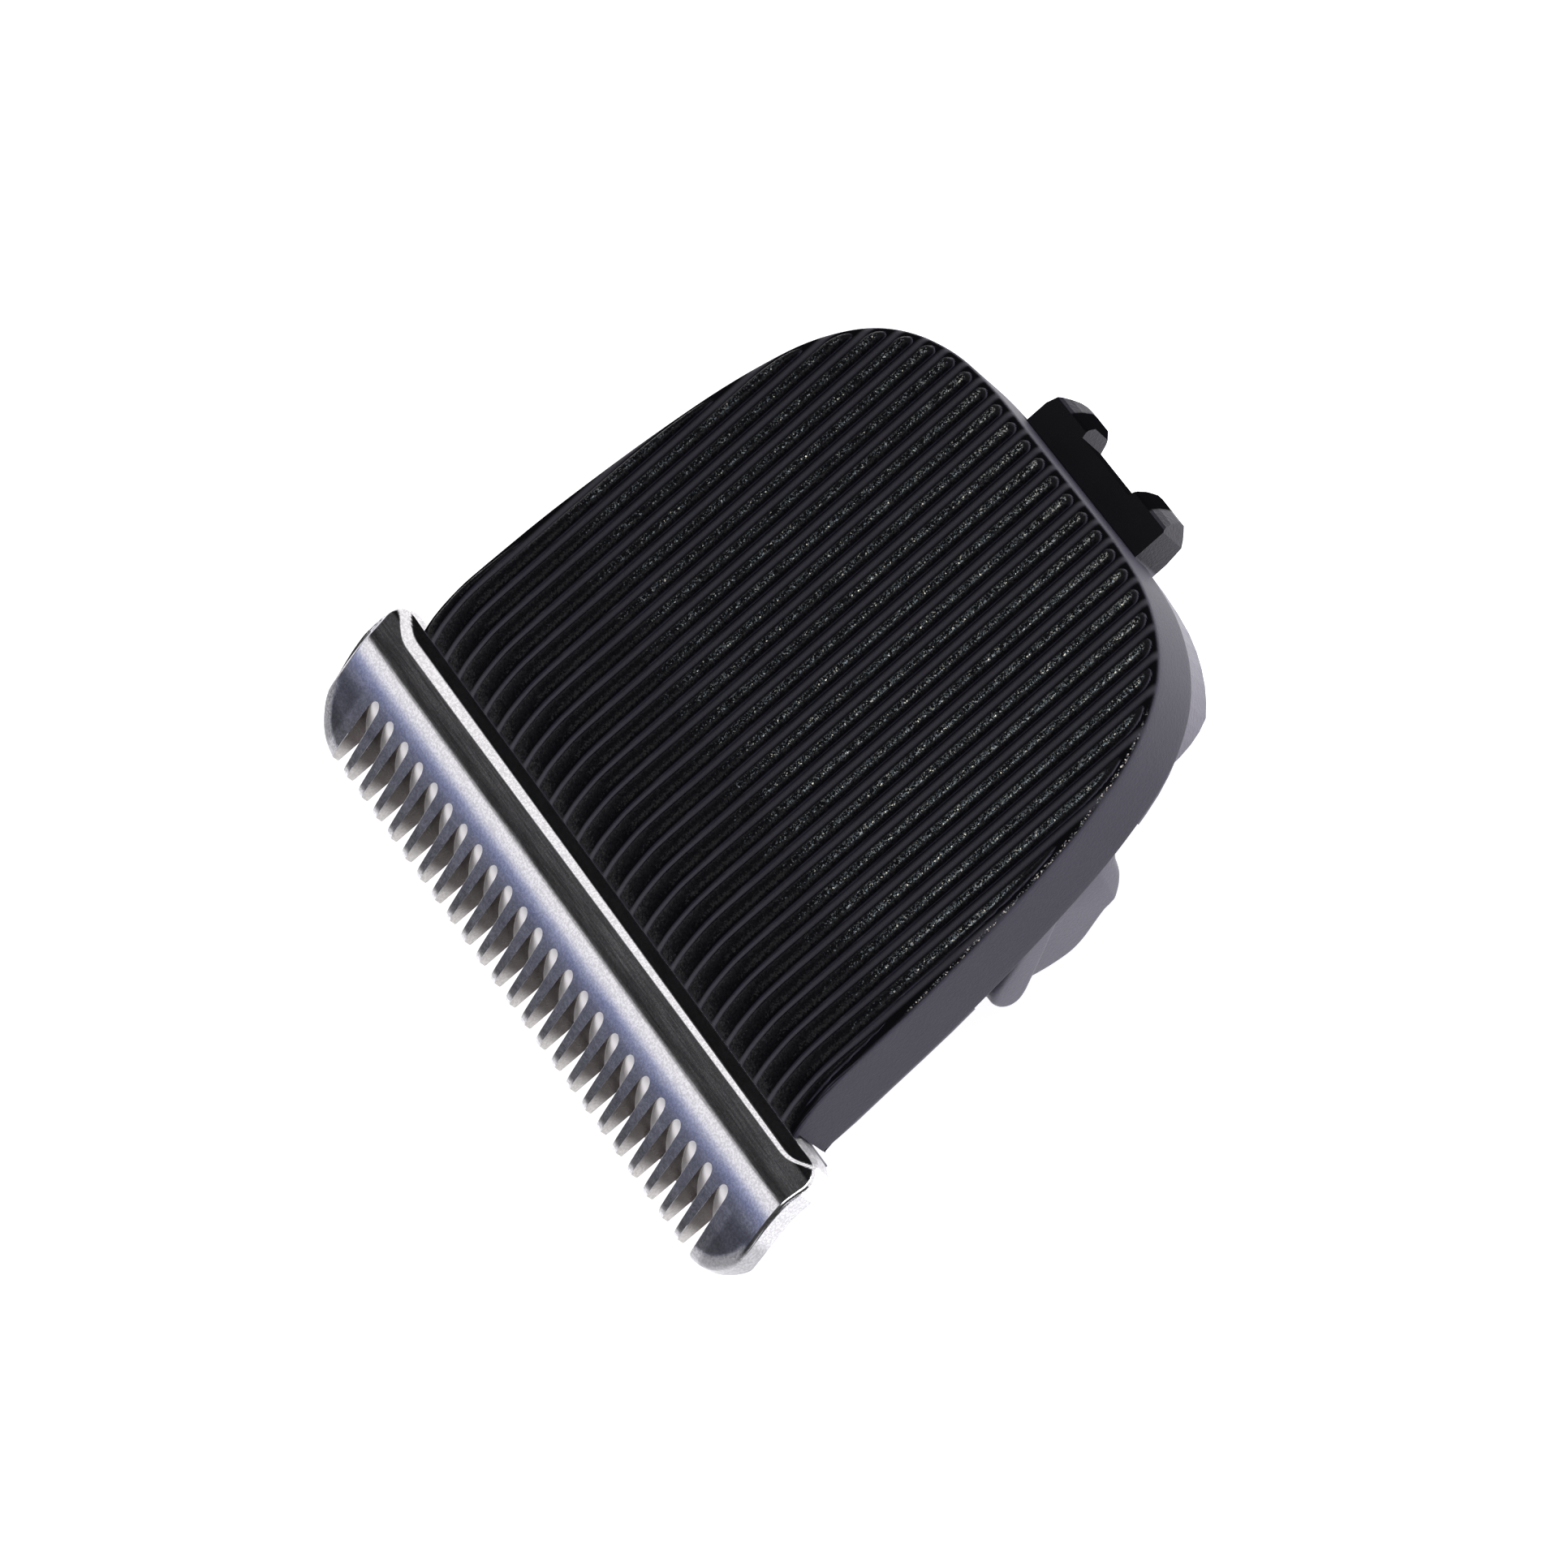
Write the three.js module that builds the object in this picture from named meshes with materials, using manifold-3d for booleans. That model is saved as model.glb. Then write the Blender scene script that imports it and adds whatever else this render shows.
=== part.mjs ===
// Detachable cutting head of a body groomer: a ribbed cover over a carrier frame,
// a fixed steel comb, a reciprocating cutter with its spring, and two side snap arms.
// Millimetres. The head is laid out in a "face frame" (z = 0 on the groove floor of the
// ribbed face, x = 0 on the symmetry plane, -y towards the comb teeth); the outer group
// then moves it so that the bottom centre of the bounding box is the origin.
import * as THREE from 'three';
import * as BufferGeometryUtils from 'three/addons/utils/BufferGeometryUtils.js';
import Module from 'manifold-3d';

const wasm = await Module();
wasm.setup();

// ---------------------------------------------------------------- driving dimensions
const HEAD_SHIFT_Y = 6.45;        // face frame -> part frame
const HEAD_SHIFT_Z = 10.5;
const GAP = 0.15;                 // working gap between pieces

// ribbed cover
const RIB_PITCH = 1.2776;
const RIB_COUNT = 28;             // ribs; grooves lie between them
const RIB_HEIGHT = 0.30;
const GROOVE_HALF = 0.25;         // half width of the flat groove floor
const COVER_BOTTOM = -4.4;
const COVER_FRONT_Y = -18.45;
const COVER_WALL_FRONT_Y = -18.2;
const COVER_REAR_Y = 10.85;
const COVER_WALL = 1.1;
const COVER_CEILING = -1.3;       // underside of the ribbed plate
// half outline of the cover, rear to front: [y, x]
const COVER_OUTLINE = [
  [10.85, 3.0], [10.82, 5.4], [10.55, 8.0], [9.95, 10.0], [9.1, 11.6], [8.0, 12.9],
  [6.6, 13.95], [4.8, 14.85], [2.5, 15.55], [0.0, 16.1], [-3.0, 16.55], [-6.0, 16.9],
  [-10.0, 17.25], [-14.0, 17.42], [-18.0, 17.6],
];
// groove-floor height along the head: [y, z]
const FLOOR_PROFILE = [
  [-19.0, -1.32], [-18.45, -1.04], [-18.0, -0.8], [-17.5, -0.57], [-17.0, -0.4],
  [-16.5, -0.26], [-16.0, -0.14], [-15.3, -0.03], [-14.0, 0.03], [0.0, -0.02], [12.0, 0.03],
];

// comb
const COMB_HALF = 20.0;
const COMB_SLOTS = 24;
const COMB_PITCH = 1.4541;
const COMB_BACK_Y = -18.3;
const COMB_TIP_Y = -26.3;
const SLOT_ROOT_Y = -22.5;
const SLOT_ROOT_HALF = 0.365;
const SLOT_TIP_HALF = 0.52;
const COMB_FLAT_BOTTOM = -2.75;
const COMB_BEND_Y = -20.9;
const COMB_BOTTOM_SLOPE = 0.41;   // fall of the underside per mm up to the tooth bend
const TOOTH_BEND_Y = -24.4;
const TOOTH_BOTTOM_SLOPE = 0.06;  // fall of the underside per mm under the tooth ends
const SLOT_RAMP = 0.40;           // slot depth = SLOT_RAMP * (distance from the root)^2
const TAB = { x0: 9.0, x1: 13.0, y: -13.5, top: -1.6 };
const BLADE_SCREW = { x: 11.0, y: -15.6, head: 1.7, shank: 0.9, bottom: -6.2 };

// cutter
const CUTTER_GAP = 0.12;
const CUTTER_THICK = 0.8;
const CUTTER_HALF = 15.4;
const CUTTER_TIP_Y = -24.8;
const CUTTER_TEETH = 22;
const CUTTER_PITCH = 1.42;
const CUTTER_TRAVEL = 1.2;        // each way from the middle
const RIVET = { x: 5.5, y: -17.1, r: 0.75, head: 1.25 };

// carrier frame
const DECK_TOP = -4.55, DECK_BOTTOM = -5.3;
const TRAY_TOP = -6.5, TRAY_BOTTOM = -7.3;
const SKIRT_BOTTOM = -6.5;
const COLLAR = { half: 9.8, y0: -15.5, y1: 4.5, wall: 1.4, r: 3.4, bottom: -10.5 };
const TONGUE = { half: 4.9, top: -3.05, bottom: -5.45, notchHalf: 2.05, notchY: 12.45, endY: 13.4 };
const COVER_SCREW = { x: 11.9, y: 2.8 };

// side snap arms, outline [y, z]
const ARM_X0 = 14.55, ARM_X1 = 15.75;
const ARM_OUTLINE = [
  [2.5, -4.65], [1.6, -5.15], [0.75, -6.0], [0.3, -6.75], [-0.05, -7.5], [-0.45, -8.0],
  [-1.0, -8.15], [-1.4, -8.3], [-3.0, -9.1], [-3.8, -9.3], [-4.6, -9.15], [-6.0, -8.55],
  [-6.7, -8.9], [-7.4, -9.0], [-7.9, -8.75], [-8.15, -8.2], [-8.2, -4.65],
];

// ---------------------------------------------------------------- helpers
function toSolid(geometry) {
  const g = geometry.index ? geometry.toNonIndexed() : geometry.clone();
  g.deleteAttribute('normal');
  g.deleteAttribute('uv');
  const m = BufferGeometryUtils.mergeVertices(g, 1e-5);
  return new wasm.Manifold(new wasm.Mesh({
    numProp: 3,
    vertProperties: new Float32Array(m.attributes.position.array),
    triVerts: new Uint32Array(m.index.array),
  }));
}

function toGeometry(solid) {
  const m = solid.getMesh();
  const n = m.vertProperties.length / m.numProp;
  const p = new Float32Array(n * 3);
  for (let i = 0; i < n; i++) for (let k = 0; k < 3; k++) p[i * 3 + k] = m.vertProperties[i * m.numProp + k];
  const g = new THREE.BufferGeometry();
  g.setAttribute('position', new THREE.BufferAttribute(p, 3));
  g.setIndex(new THREE.BufferAttribute(new Uint32Array(m.triVerts), 1));
  g.computeVertexNormals();
  return g;
}

function shapeOf(points, holes = []) {
  const s = new THREE.Shape(points.map(([x, y]) => new THREE.Vector2(x, y)));
  for (const h of holes) s.holes.push(new THREE.Path(h.map(([x, y]) => new THREE.Vector2(x, y))));
  return s;
}

// outline in (x, y), extruded from z0 to z1
function prismZ(points, z0, z1, holes = []) {
  const g = new THREE.ExtrudeGeometry(shapeOf(points, holes), { depth: z1 - z0, bevelEnabled: false, curveSegments: 1 });
  g.translate(0, 0, z0);
  return toSolid(g);
}

// outline in (y, z), extruded from x0 to x1
function prismX(points, x0, x1) {
  const g = new THREE.ExtrudeGeometry(shapeOf(points), { depth: x1 - x0, bevelEnabled: false, curveSegments: 1 });
  g.translate(0, 0, x0);
  g.applyMatrix4(new THREE.Matrix4().makeBasis(
    new THREE.Vector3(0, 1, 0), new THREE.Vector3(0, 0, 1), new THREE.Vector3(1, 0, 0)));
  return toSolid(g);
}

function box(x0, x1, y0, y1, z0, z1) {
  const g = new THREE.BoxGeometry(x1 - x0, y1 - y0, z1 - z0);
  g.translate((x0 + x1) / 2, (y0 + y1) / 2, (z0 + z1) / 2);
  return toSolid(g);
}

// cylinder or cone along z
function rod(x, y, z0, z1, r0, r1 = r0, n = 24) {
  const g = new THREE.CylinderGeometry(r1, r0, z1 - z0, n);
  g.rotateX(Math.PI / 2);
  g.translate(x, y, (z0 + z1) / 2);
  return toSolid(g);
}

// rounded rectangle outline, anticlockwise
function roundRect(x0, x1, y0, y1, r, seg = 6) {
  const pts = [];
  const corner = (cx, cy, a0) => {
    for (let i = 0; i <= seg; i++) {
      const a = a0 + (Math.PI / 2) * (i / seg);
      pts.push([cx + r * Math.cos(a), cy + r * Math.sin(a)]);
    }
  };
  corner(x1 - r, y1 - r, 0);
  corner(x0 + r, y1 - r, Math.PI / 2);
  corner(x0 + r, y0 + r, Math.PI);
  corner(x1 - r, y0 + r, 1.5 * Math.PI);
  return pts;
}

const mirrorX = (solid) => solid.mirror([1, 0, 0]);
const both = (solid) => solid.add(mirrorX(solid));

function interp(table, t) {
  if (t <= table[0][0]) return table[0][1];
  for (let i = 1; i < table.length; i++) {
    if (t <= table[i][0]) {
      const [a, fa] = table[i - 1], [b, fb] = table[i];
      return fa + (fb - fa) * (t - a) / (b - a);
    }
  }
  return table[table.length - 1][1];
}

// closed outline of the head, offset inwards; front edge straight at frontY
function headOutline(inset, frontY, sub = 2) {
  const half = COVER_OUTLINE.map(([y, x]) => new THREE.Vector2(x, y));
  const full = [...half.slice().reverse().map((p) => new THREE.Vector2(-p.x, p.y)).reverse()];
  const curve = new THREE.SplineCurve(half);
  const n = (half.length - 1) * sub;
  const right = [];
  for (let i = 0; i <= n; i++) {
    const p = curve.getPoint(i / n);
    const t = curve.getTangent(Math.min(0.9999, Math.max(0.0001, i / n)));
    right.push([p.x + t.y * inset, p.y - t.x * inset]);   // tangent runs rear to front, inside is on its left-hand x
  }
  // tangent (dx, dy) with dy < 0: inward normal is (dy, -dx)
  let r = right.filter(([x, y]) => y > frontY + 0.02 && x > 0);
  const lastX = r[r.length - 1][0];
  r.push([lastX + 0.01, frontY]);
  const top = Math.max(...r.map(([, y]) => y));
  const left = r.slice().reverse().map(([x, y]) => [-x, y]);
  // anticlockwise: rear centre -> left side -> front -> right side
  const pts = [];
  for (let i = r.length - 1; i >= 0; i--) pts.push(r[i]);
  for (let i = left.length - 1; i >= 0; i--) pts.push(left[i]);
  return pts;
}

const materials = {
  cover: new THREE.MeshStandardMaterial({ color: 0x17171c, roughness: 0.42, metalness: 0.0 }),
  frame: new THREE.MeshStandardMaterial({ color: 0x1b1a20, roughness: 0.55, metalness: 0.0 }),
  blade: new THREE.MeshStandardMaterial({ color: 0xb9bac0, roughness: 0.22, metalness: 1.0 }),
  cutter: new THREE.MeshStandardMaterial({ color: 0x8f8c8a, roughness: 0.35, metalness: 1.0 }),
  holder: new THREE.MeshStandardMaterial({ color: 0x2b2b30, roughness: 0.5, metalness: 0.0 }),
  spring: new THREE.MeshStandardMaterial({ color: 0xa8a9ad, roughness: 0.3, metalness: 1.0 }),
  screw: new THREE.MeshStandardMaterial({ color: 0x9a9ba0, roughness: 0.35, metalness: 1.0 }),
  follower: new THREE.MeshStandardMaterial({ color: 0xd8d6cf, roughness: 0.5, metalness: 0.0 }),
  rubber: new THREE.MeshStandardMaterial({ color: 0x141414, roughness: 0.8, metalness: 0.0 }),
};

const head = new THREE.Group();
head.position.set(0, HEAD_SHIFT_Y, HEAD_SHIFT_Z);

function put(name, solid, material) {
  const mesh = new THREE.Mesh(toGeometry(solid), materials[material].clone());
  mesh.name = name;
  head.add(mesh);
}

// ---------------------------------------------------------------- front_cover
// ribbed top sheet as a closed grid: rib profile across x, floor profile along y
function ribShape(x) {
  const s = ((x / RIB_PITCH) % 1 + 1.5) % 1 - 0.5;        // -0.5..0.5, grooves at s = 0
  const d = Math.abs(s) * RIB_PITCH;
  if (d <= GROOVE_HALF) return 0;
  const t = (d - GROOVE_HALF) / (RIB_PITCH / 2 - GROOVE_HALF);
  return Math.sqrt(Math.max(0, 1 - (1 - t) * (1 - t)));
}

function ribbedSheet(bottom) {
  const xs = [];
  const halfW = (RIB_COUNT / 2) * RIB_PITCH + 0.2;
  const marks = [0.0];
  for (let i = -RIB_COUNT / 2; i <= RIB_COUNT / 2; i++) {
    const c = i * RIB_PITCH;
    for (const o of [-GROOVE_HALF, GROOVE_HALF, 0.31, 0.44, RIB_PITCH / 2, RIB_PITCH - 0.44, RIB_PITCH - 0.31]) {
      const x = c + o;
      if (x > -halfW && x < halfW) xs.push(Math.round(x * 1e4) / 1e4);
    }
  }
  xs.push(-halfW, halfW);
  const ux = [...new Set(xs)].sort((a, b) => a - b);
  const ys = FLOOR_PROFILE.map(([y]) => y);
  const nx = ux.length, ny = ys.length;
  const pos = [], idx = [];
  for (let j = 0; j < ny; j++) {
    for (let i = 0; i < nx; i++) {
      const fade = THREE.MathUtils.clamp((ys[j] + 19.2) / 3.6, 0.3, 1);
      pos.push(ux[i], ys[j], FLOOR_PROFILE[j][1] + ribShape(ux[i]) * RIB_HEIGHT * fade);
    }
  }
  const top = (i, j) => j * nx + i;
  for (let j = 0; j < ny - 1; j++) for (let i = 0; i < nx - 1; i++) {
    idx.push(top(i, j), top(i + 1, j), top(i + 1, j + 1), top(i, j), top(i + 1, j + 1), top(i, j + 1));
  }
  // rim and floor
  const base = pos.length / 3;
  const ring = [];
  for (let i = 0; i < nx; i++) ring.push(top(i, 0));
  for (let j = 1; j < ny; j++) ring.push(top(nx - 1, j));
  for (let i = nx - 2; i >= 0; i--) ring.push(top(i, ny - 1));
  for (let j = ny - 2; j >= 1; j--) ring.push(top(0, j));
  for (const r of ring) pos.push(pos[r * 3], pos[r * 3 + 1], bottom);
  const centre = pos.length / 3;
  pos.push(0, (ys[0] + ys[ny - 1]) / 2, bottom);
  for (let k = 0; k < ring.length; k++) {
    const k2 = (k + 1) % ring.length;
    idx.push(ring[k], base + k, base + k2, ring[k], base + k2, ring[k2]);
    idx.push(centre, base + k2, base + k);
  }
  const g = new THREE.BufferGeometry();
  g.setAttribute('position', new THREE.BufferAttribute(new Float32Array(pos), 3));
  g.setIndex(idx);
  return toSolid(g);
}

const outer = headOutline(0, COVER_FRONT_Y);
let cover = ribbedSheet(COVER_BOTTOM - 0.6).intersect(prismZ(outer, COVER_BOTTOM, 3));
const inner = headOutline(COVER_WALL, COVER_FRONT_Y - 0.6);
cover = cover.subtract(prismZ(inner, COVER_BOTTOM - 1, COVER_CEILING));
// the side walls stop short of the comb
cover = cover.subtract(box(-25, 25, -25, COVER_WALL_FRONT_Y, COVER_BOTTOM - 1, -1.35));
// notch in the rear wall for the tongue
cover = cover.subtract(box(-TONGUE.half - 0.25, TONGUE.half + 0.25, 8, 12, COVER_BOTTOM - 1, TONGUE.top + 0.22));
// screw bosses
let bosses = both(rod(COVER_SCREW.x, COVER_SCREW.y, DECK_TOP + GAP, COVER_CEILING + 0.2, 1.5));
cover = cover.add(bosses).subtract(both(rod(COVER_SCREW.x, COVER_SCREW.y, -6, -1.75, 0.8)));
put('front_cover', cover, 'cover');

// ---------------------------------------------------------------- base_frame
const deckOutline = headOutline(0.7, -17.6);
let frame = prismZ(deckOutline, DECK_BOTTOM, DECK_TOP);
// rear skirt: flush with the cover wall, its lower edge sloping up to the sides
const skirtOuter = headOutline(0.3, 5.2);
let skirt = prismZ(skirtOuter, SKIRT_BOTTOM, DECK_TOP);
skirt = skirt.intersect(prismX([[4, -4.3], [5.8, -4.3], [8.4, -6.5], [8.4, -8], [12, -8], [12, -3], [4, -3]], -20, 20));
const skirtInner = headOutline(1.5, 4.0);
skirt = skirt.subtract(prismZ(skirtInner, -8, DECK_BOTTOM));
frame = frame.add(skirt);
// tray and collar
const collarOuter = roundRect(-COLLAR.half, COLLAR.half, COLLAR.y0, COLLAR.y1, COLLAR.r);
const collarInner = roundRect(-COLLAR.half + COLLAR.wall, COLLAR.half - COLLAR.wall,
  COLLAR.y0 + COLLAR.wall, COLLAR.y1 - COLLAR.wall, COLLAR.r - COLLAR.wall);
frame = frame.add(prismZ(collarOuter, COLLAR.bottom, DECK_TOP));
frame = frame.add(box(-14.2, 14.2, -20.3, -10.2, TRAY_BOTTOM, DECK_TOP));
// pocket above the tray floor, open towards the front above the sill
frame = frame.subtract(box(-13.2, 13.2, -19.5, -11.2, TRAY_TOP, -3));
frame = frame.subtract(box(-13.2, 13.2, -21, -19.4, -5.5, -3));
frame = frame.subtract(prismZ(collarInner, TRAY_TOP, -3));
// socket below the tray floor
frame = frame.subtract(prismZ(collarInner, COLLAR.bottom - 1, TRAY_BOTTOM));
// drive window in the tray floor
frame = frame.subtract(prismZ(roundRect(-5.2, 5.2, -6.6, 0.6, 0.9, 3), -9, -5));
// comb seats: pillars beside the pocket with feet in front of the cover wall
let seat = box(14.55, 16.2, -19.4, -15.6, DECK_BOTTOM, COMB_FLAT_BOTTOM - GAP)
  .add(box(14.55, 18.1, -20.6, -18.5, -4.4, COMB_FLAT_BOTTOM - GAP));
// posts under the comb tabs
seat = seat.add(box(9.3, 12.8, -17.6, -13.6, -6.9, COMB_FLAT_BOTTOM - GAP))
  .subtract(rod(BLADE_SCREW.x, BLADE_SCREW.y, -6.4, -1, BLADE_SCREW.shank + 0.1));
frame = frame.add(both(seat));
// holes for the two cover screws and the two spring screws
frame = frame.subtract(both(rod(COVER_SCREW.x, COVER_SCREW.y, -7, -4, 0.95)));
frame = frame.add(both(rod(7.0, -11.0, -8.6, -7.0, 1.3))).subtract(both(rod(7.0, -11.0, -8.2, -5, 0.72)));
// clearance for the snap arms
frame = frame.subtract(both(box(14.2, 18, -8.55, 2.9, -5.6, -4.5)));
// rear tongue
let tongue = prismX([[7.0, TONGUE.bottom], [11.5, TONGUE.bottom], [12.9, -5.15], [13.4, -4.85], [13.4, -4.3],
  [13.1, -3.55], [12.85, -3.15], [12.7, TONGUE.top], [7.0, TONGUE.top]], -TONGUE.half, TONGUE.half);
tongue = tongue.subtract(box(-TONGUE.notchHalf, TONGUE.notchHalf, TONGUE.notchY, 15, -7, -2));
// prong corners
tongue = tongue.intersect(prismZ([[-4.9, 6], [4.9, 6], [4.9, 12.6], [4.45, 13.2], [4.1, 13.6], [2.5, 13.6],
  [2.25, 13.2], [2.05, 12.4], [-2.05, 12.4], [-2.25, 13.1], [-2.5, 13.4], [-3.4, 13.6], [-4.2, 13.3], [-4.7, 12.7], [-4.9, 12.1]], -7, -2));
frame = frame.add(tongue).add(box(-4.9, 4.9, 6.5, 10.4, -5.3, -3.05));
put('base_frame', frame, 'frame');

// ---------------------------------------------------------------- fixed_comb_blade
const combBottom = (y) => COMB_FLAT_BOTTOM
  - (Math.max(TOOTH_BEND_Y, Math.min(COMB_BEND_Y, y)) - COMB_BEND_Y) * -COMB_BOTTOM_SLOPE
  - Math.max(0, TOOTH_BEND_Y - y) * TOOTH_BOTTOM_SLOPE;
const combTop = [
  [-26.3, -3.78], [-26.1, -3.56], [-25.8, -3.42], [-24.4, -2.85], [-22.6, -2.08], [-22.1, -1.88],
  [-21.4, -1.62], [-20.9, -1.48], [-20.5, -1.42], [-19.3, -1.42], [-19.05, -1.5], [-18.95, -1.62], [-18.5, -1.62],
];
const combProfile = [
  [COMB_BACK_Y, -1.85], ...combTop.slice().reverse(),
  [COMB_TIP_Y, combBottom(COMB_TIP_Y) + 0.1], [-26.15, combBottom(-26.15)],
  [TOOTH_BEND_Y, combBottom(TOOTH_BEND_Y)], [COMB_BEND_Y, COMB_FLAT_BOTTOM], [-18.45, COMB_FLAT_BOTTOM],
  [COMB_BACK_Y, -2.6],
];
function combPlan() {
  const right = [[TAB.x0, COMB_BACK_Y], [TAB.x0, TAB.y], [TAB.x1, TAB.y], [TAB.x1, COMB_BACK_Y],
    [COMB_HALF - 1.2, COMB_BACK_Y]];
  for (let i = 1; i <= 5; i++) {
    const a = Math.PI / 2 - (Math.PI / 2) * (i / 5);
    right.push([COMB_HALF - 1.2 + 1.2 * Math.cos(a), COMB_BACK_Y - 1.2 + 1.2 * Math.sin(a)]);
  }
  right.push([19.85, -20.1], [19.85, -24.0]);
  right.push([19.72, -24.55], [19.33, -25.15], [18.75, -25.72], [18.1, -26.08], [17.5, -26.25], [17.15, COMB_TIP_Y]);
  const left = right.slice().reverse().map(([x, y]) => [-x, y]);
  return [...right, ...left].reverse();
}
let comb = prismZ(combPlan(), -5, 0).intersect(prismX(combProfile, -21, 21)
  .add(both(box(TAB.x0, TAB.x1, COMB_BACK_Y - 0.6, TAB.y + 0.0, COMB_FLAT_BOTTOM, TAB.top))));
// slots: each is cut down to a floor that ramps away from its root
const rampFloor = [];
for (let i = 0; i <= 5; i++) {
  const d = 2.1 * (i / 5);
  const y = SLOT_ROOT_Y - d;
  rampFloor.push([y, interp(combTop, y) - SLOT_RAMP * d * d]);
}
const rampSide = prismX([[SLOT_ROOT_Y + 0.1, -1.0], [SLOT_ROOT_Y, interp(combTop, SLOT_ROOT_Y) + 0.01], ...rampFloor.slice(1),
  [rampFloor[5][0] - 0.15, -6], [-28, -6], [-28, -1.0]], -18, 18);
let slots = null;
for (let i = 0; i < COMB_SLOTS; i++) {
  const c = (i - (COMB_SLOTS - 1) / 2) * COMB_PITCH;
  const pts = [[c - SLOT_TIP_HALF - 0.16, -26.5], [c - SLOT_TIP_HALF - 0.12, COMB_TIP_Y], [c - SLOT_TIP_HALF, COMB_TIP_Y + 0.16]];
  pts.push([c - SLOT_ROOT_HALF, SLOT_ROOT_Y - 0.6]);
  for (let k = 1; k < 6; k++) {
    const a = Math.PI - Math.PI * (k / 6);
    pts.push([c + SLOT_ROOT_HALF * Math.cos(a), SLOT_ROOT_Y - 0.6 + 0.6 * Math.sin(a)]);
  }
  pts.push([c + SLOT_ROOT_HALF, SLOT_ROOT_Y - 0.6]);
  pts.push([c + SLOT_TIP_HALF, COMB_TIP_Y + 0.16], [c + SLOT_TIP_HALF + 0.12, COMB_TIP_Y], [c + SLOT_TIP_HALF + 0.16, -26.5]);
  const one = prismZ(pts.reverse(), -5.5, 0);
  slots = slots ? slots.add(one) : one;
}
comb = comb.subtract(slots.intersect(rampSide));
comb = comb.subtract(both(rod(BLADE_SCREW.x, BLADE_SCREW.y, -3, -1, BLADE_SCREW.shank + 0.15)))
  .subtract(both(rod(BLADE_SCREW.x, BLADE_SCREW.y, -2.55, -1.5, BLADE_SCREW.shank + 0.1, BLADE_SCREW.head + 0.25)));
put('fixed_comb_blade', comb, 'blade');

// ---------------------------------------------------------------- moving_blade
const cutTop = (y) => combBottom(y) - CUTTER_GAP;
const cutterProfile = [
  [-15.4, cutTop(-15.4)], [COMB_BEND_Y, cutTop(COMB_BEND_Y)], [TOOTH_BEND_Y, cutTop(TOOTH_BEND_Y)],
  [CUTTER_TIP_Y, cutTop(CUTTER_TIP_Y)], [CUTTER_TIP_Y, cutTop(CUTTER_TIP_Y) - 0.3],
  [-23.2, cutTop(-23.2) - CUTTER_THICK],
  [COMB_BEND_Y, cutTop(COMB_BEND_Y) - CUTTER_THICK], [-15.4, cutTop(-15.4) - CUTTER_THICK],
];
function cutterPlan() {
  const right = [[7.5, -15.4], [7.5, -18.6], [12.8, -18.6], [12.8, -21.0], [CUTTER_HALF, -21.0]];
  const lim = (CUTTER_TEETH - 1) / 2;
  right.push([CUTTER_HALF, -24.3]);
  for (let i = CUTTER_TEETH - 1; i >= CUTTER_TEETH / 2; i--) {
    const c = (i - lim) * CUTTER_PITCH;
    const tipHalf = 0.3, rootHalf = 0.48;
    if (i === CUTTER_TEETH - 1) right.push([CUTTER_HALF - 0.2, CUTTER_TIP_Y], [c - tipHalf, CUTTER_TIP_Y]);
    else right.push([c + rootHalf, -23.0], [c + tipHalf, CUTTER_TIP_Y], [c - tipHalf, CUTTER_TIP_Y]);
    right.push([c - rootHalf, -23.0]);
  }
  const left = right.slice().reverse().map(([x, y]) => [-x, y]);
  return [...right, ...left].reverse();
}
let cutter = prismZ(cutterPlan(), -6, 0).intersect(prismX(cutterProfile, -19, 19));
cutter = cutter.subtract(both(rod(RIVET.x, RIVET.y, -6, 0, RIVET.r + 0.1)));
put('moving_blade', cutter, 'cutter');

// ---------------------------------------------------------------- cutter_holder
const HOLD_TOP = cutTop(-18) - CUTTER_THICK - GAP, HOLD_BOTTOM = HOLD_TOP - 0.9;
const YOKE = { x: 3.6, y0: -6.0, y1: 0.0, bottom: -7.0 };
let holder = box(-11.6, 11.6, -20.9, -18.3, HOLD_BOTTOM, HOLD_TOP)
  .add(box(-7.4, 7.4, -18.4, -12.4, HOLD_BOTTOM, HOLD_TOP))
  .add(prismZ([[-7.4, -12.5], [7.4, -12.5], [YOKE.x, -9.5], [YOKE.x, YOKE.y1], [-YOKE.x, YOKE.y1], [-YOKE.x, -9.5]], HOLD_BOTTOM, HOLD_TOP))
  .add(prismZ(roundRect(-YOKE.x, YOKE.x, YOKE.y0, YOKE.y1, 0.7, 3), YOKE.bottom, HOLD_TOP));
holder = holder.subtract(prismZ(roundRect(-2.2, 2.2, -5.2, -0.8, 0.5, 3), YOKE.bottom - 1, HOLD_TOP - 0.7));
holder = holder.subtract(both(rod(RIVET.x, RIVET.y, -6, 0, RIVET.r + 0.1)));
put('cutter_holder', holder, 'holder');

// ---------------------------------------------------------------- drive_follower
put('drive_follower', prismZ(roundRect(-2.05, 2.05, -5.05, -0.95, 0.45, 3), YOKE.bottom, HOLD_TOP - 0.85,
  [roundRect(-1.5, 1.5, -4.5, -1.5, 0.4, 3)]), 'follower');

// ---------------------------------------------------------------- rivets
for (const [side, s] of [['left', -1], ['right', 1]]) {
  const r = rod(s * RIVET.x, RIVET.y, HOLD_BOTTOM + 0.05, -2.6, RIVET.r, RIVET.r, 16)
    .add(rod(s * RIVET.x, RIVET.y, cutTop(-17) + 0.12, cutTop(-17) + 0.45, RIVET.head, RIVET.head * 0.75, 16));
  put(`cutter_rivet_${side}`, r, 'screw');
}

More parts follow.
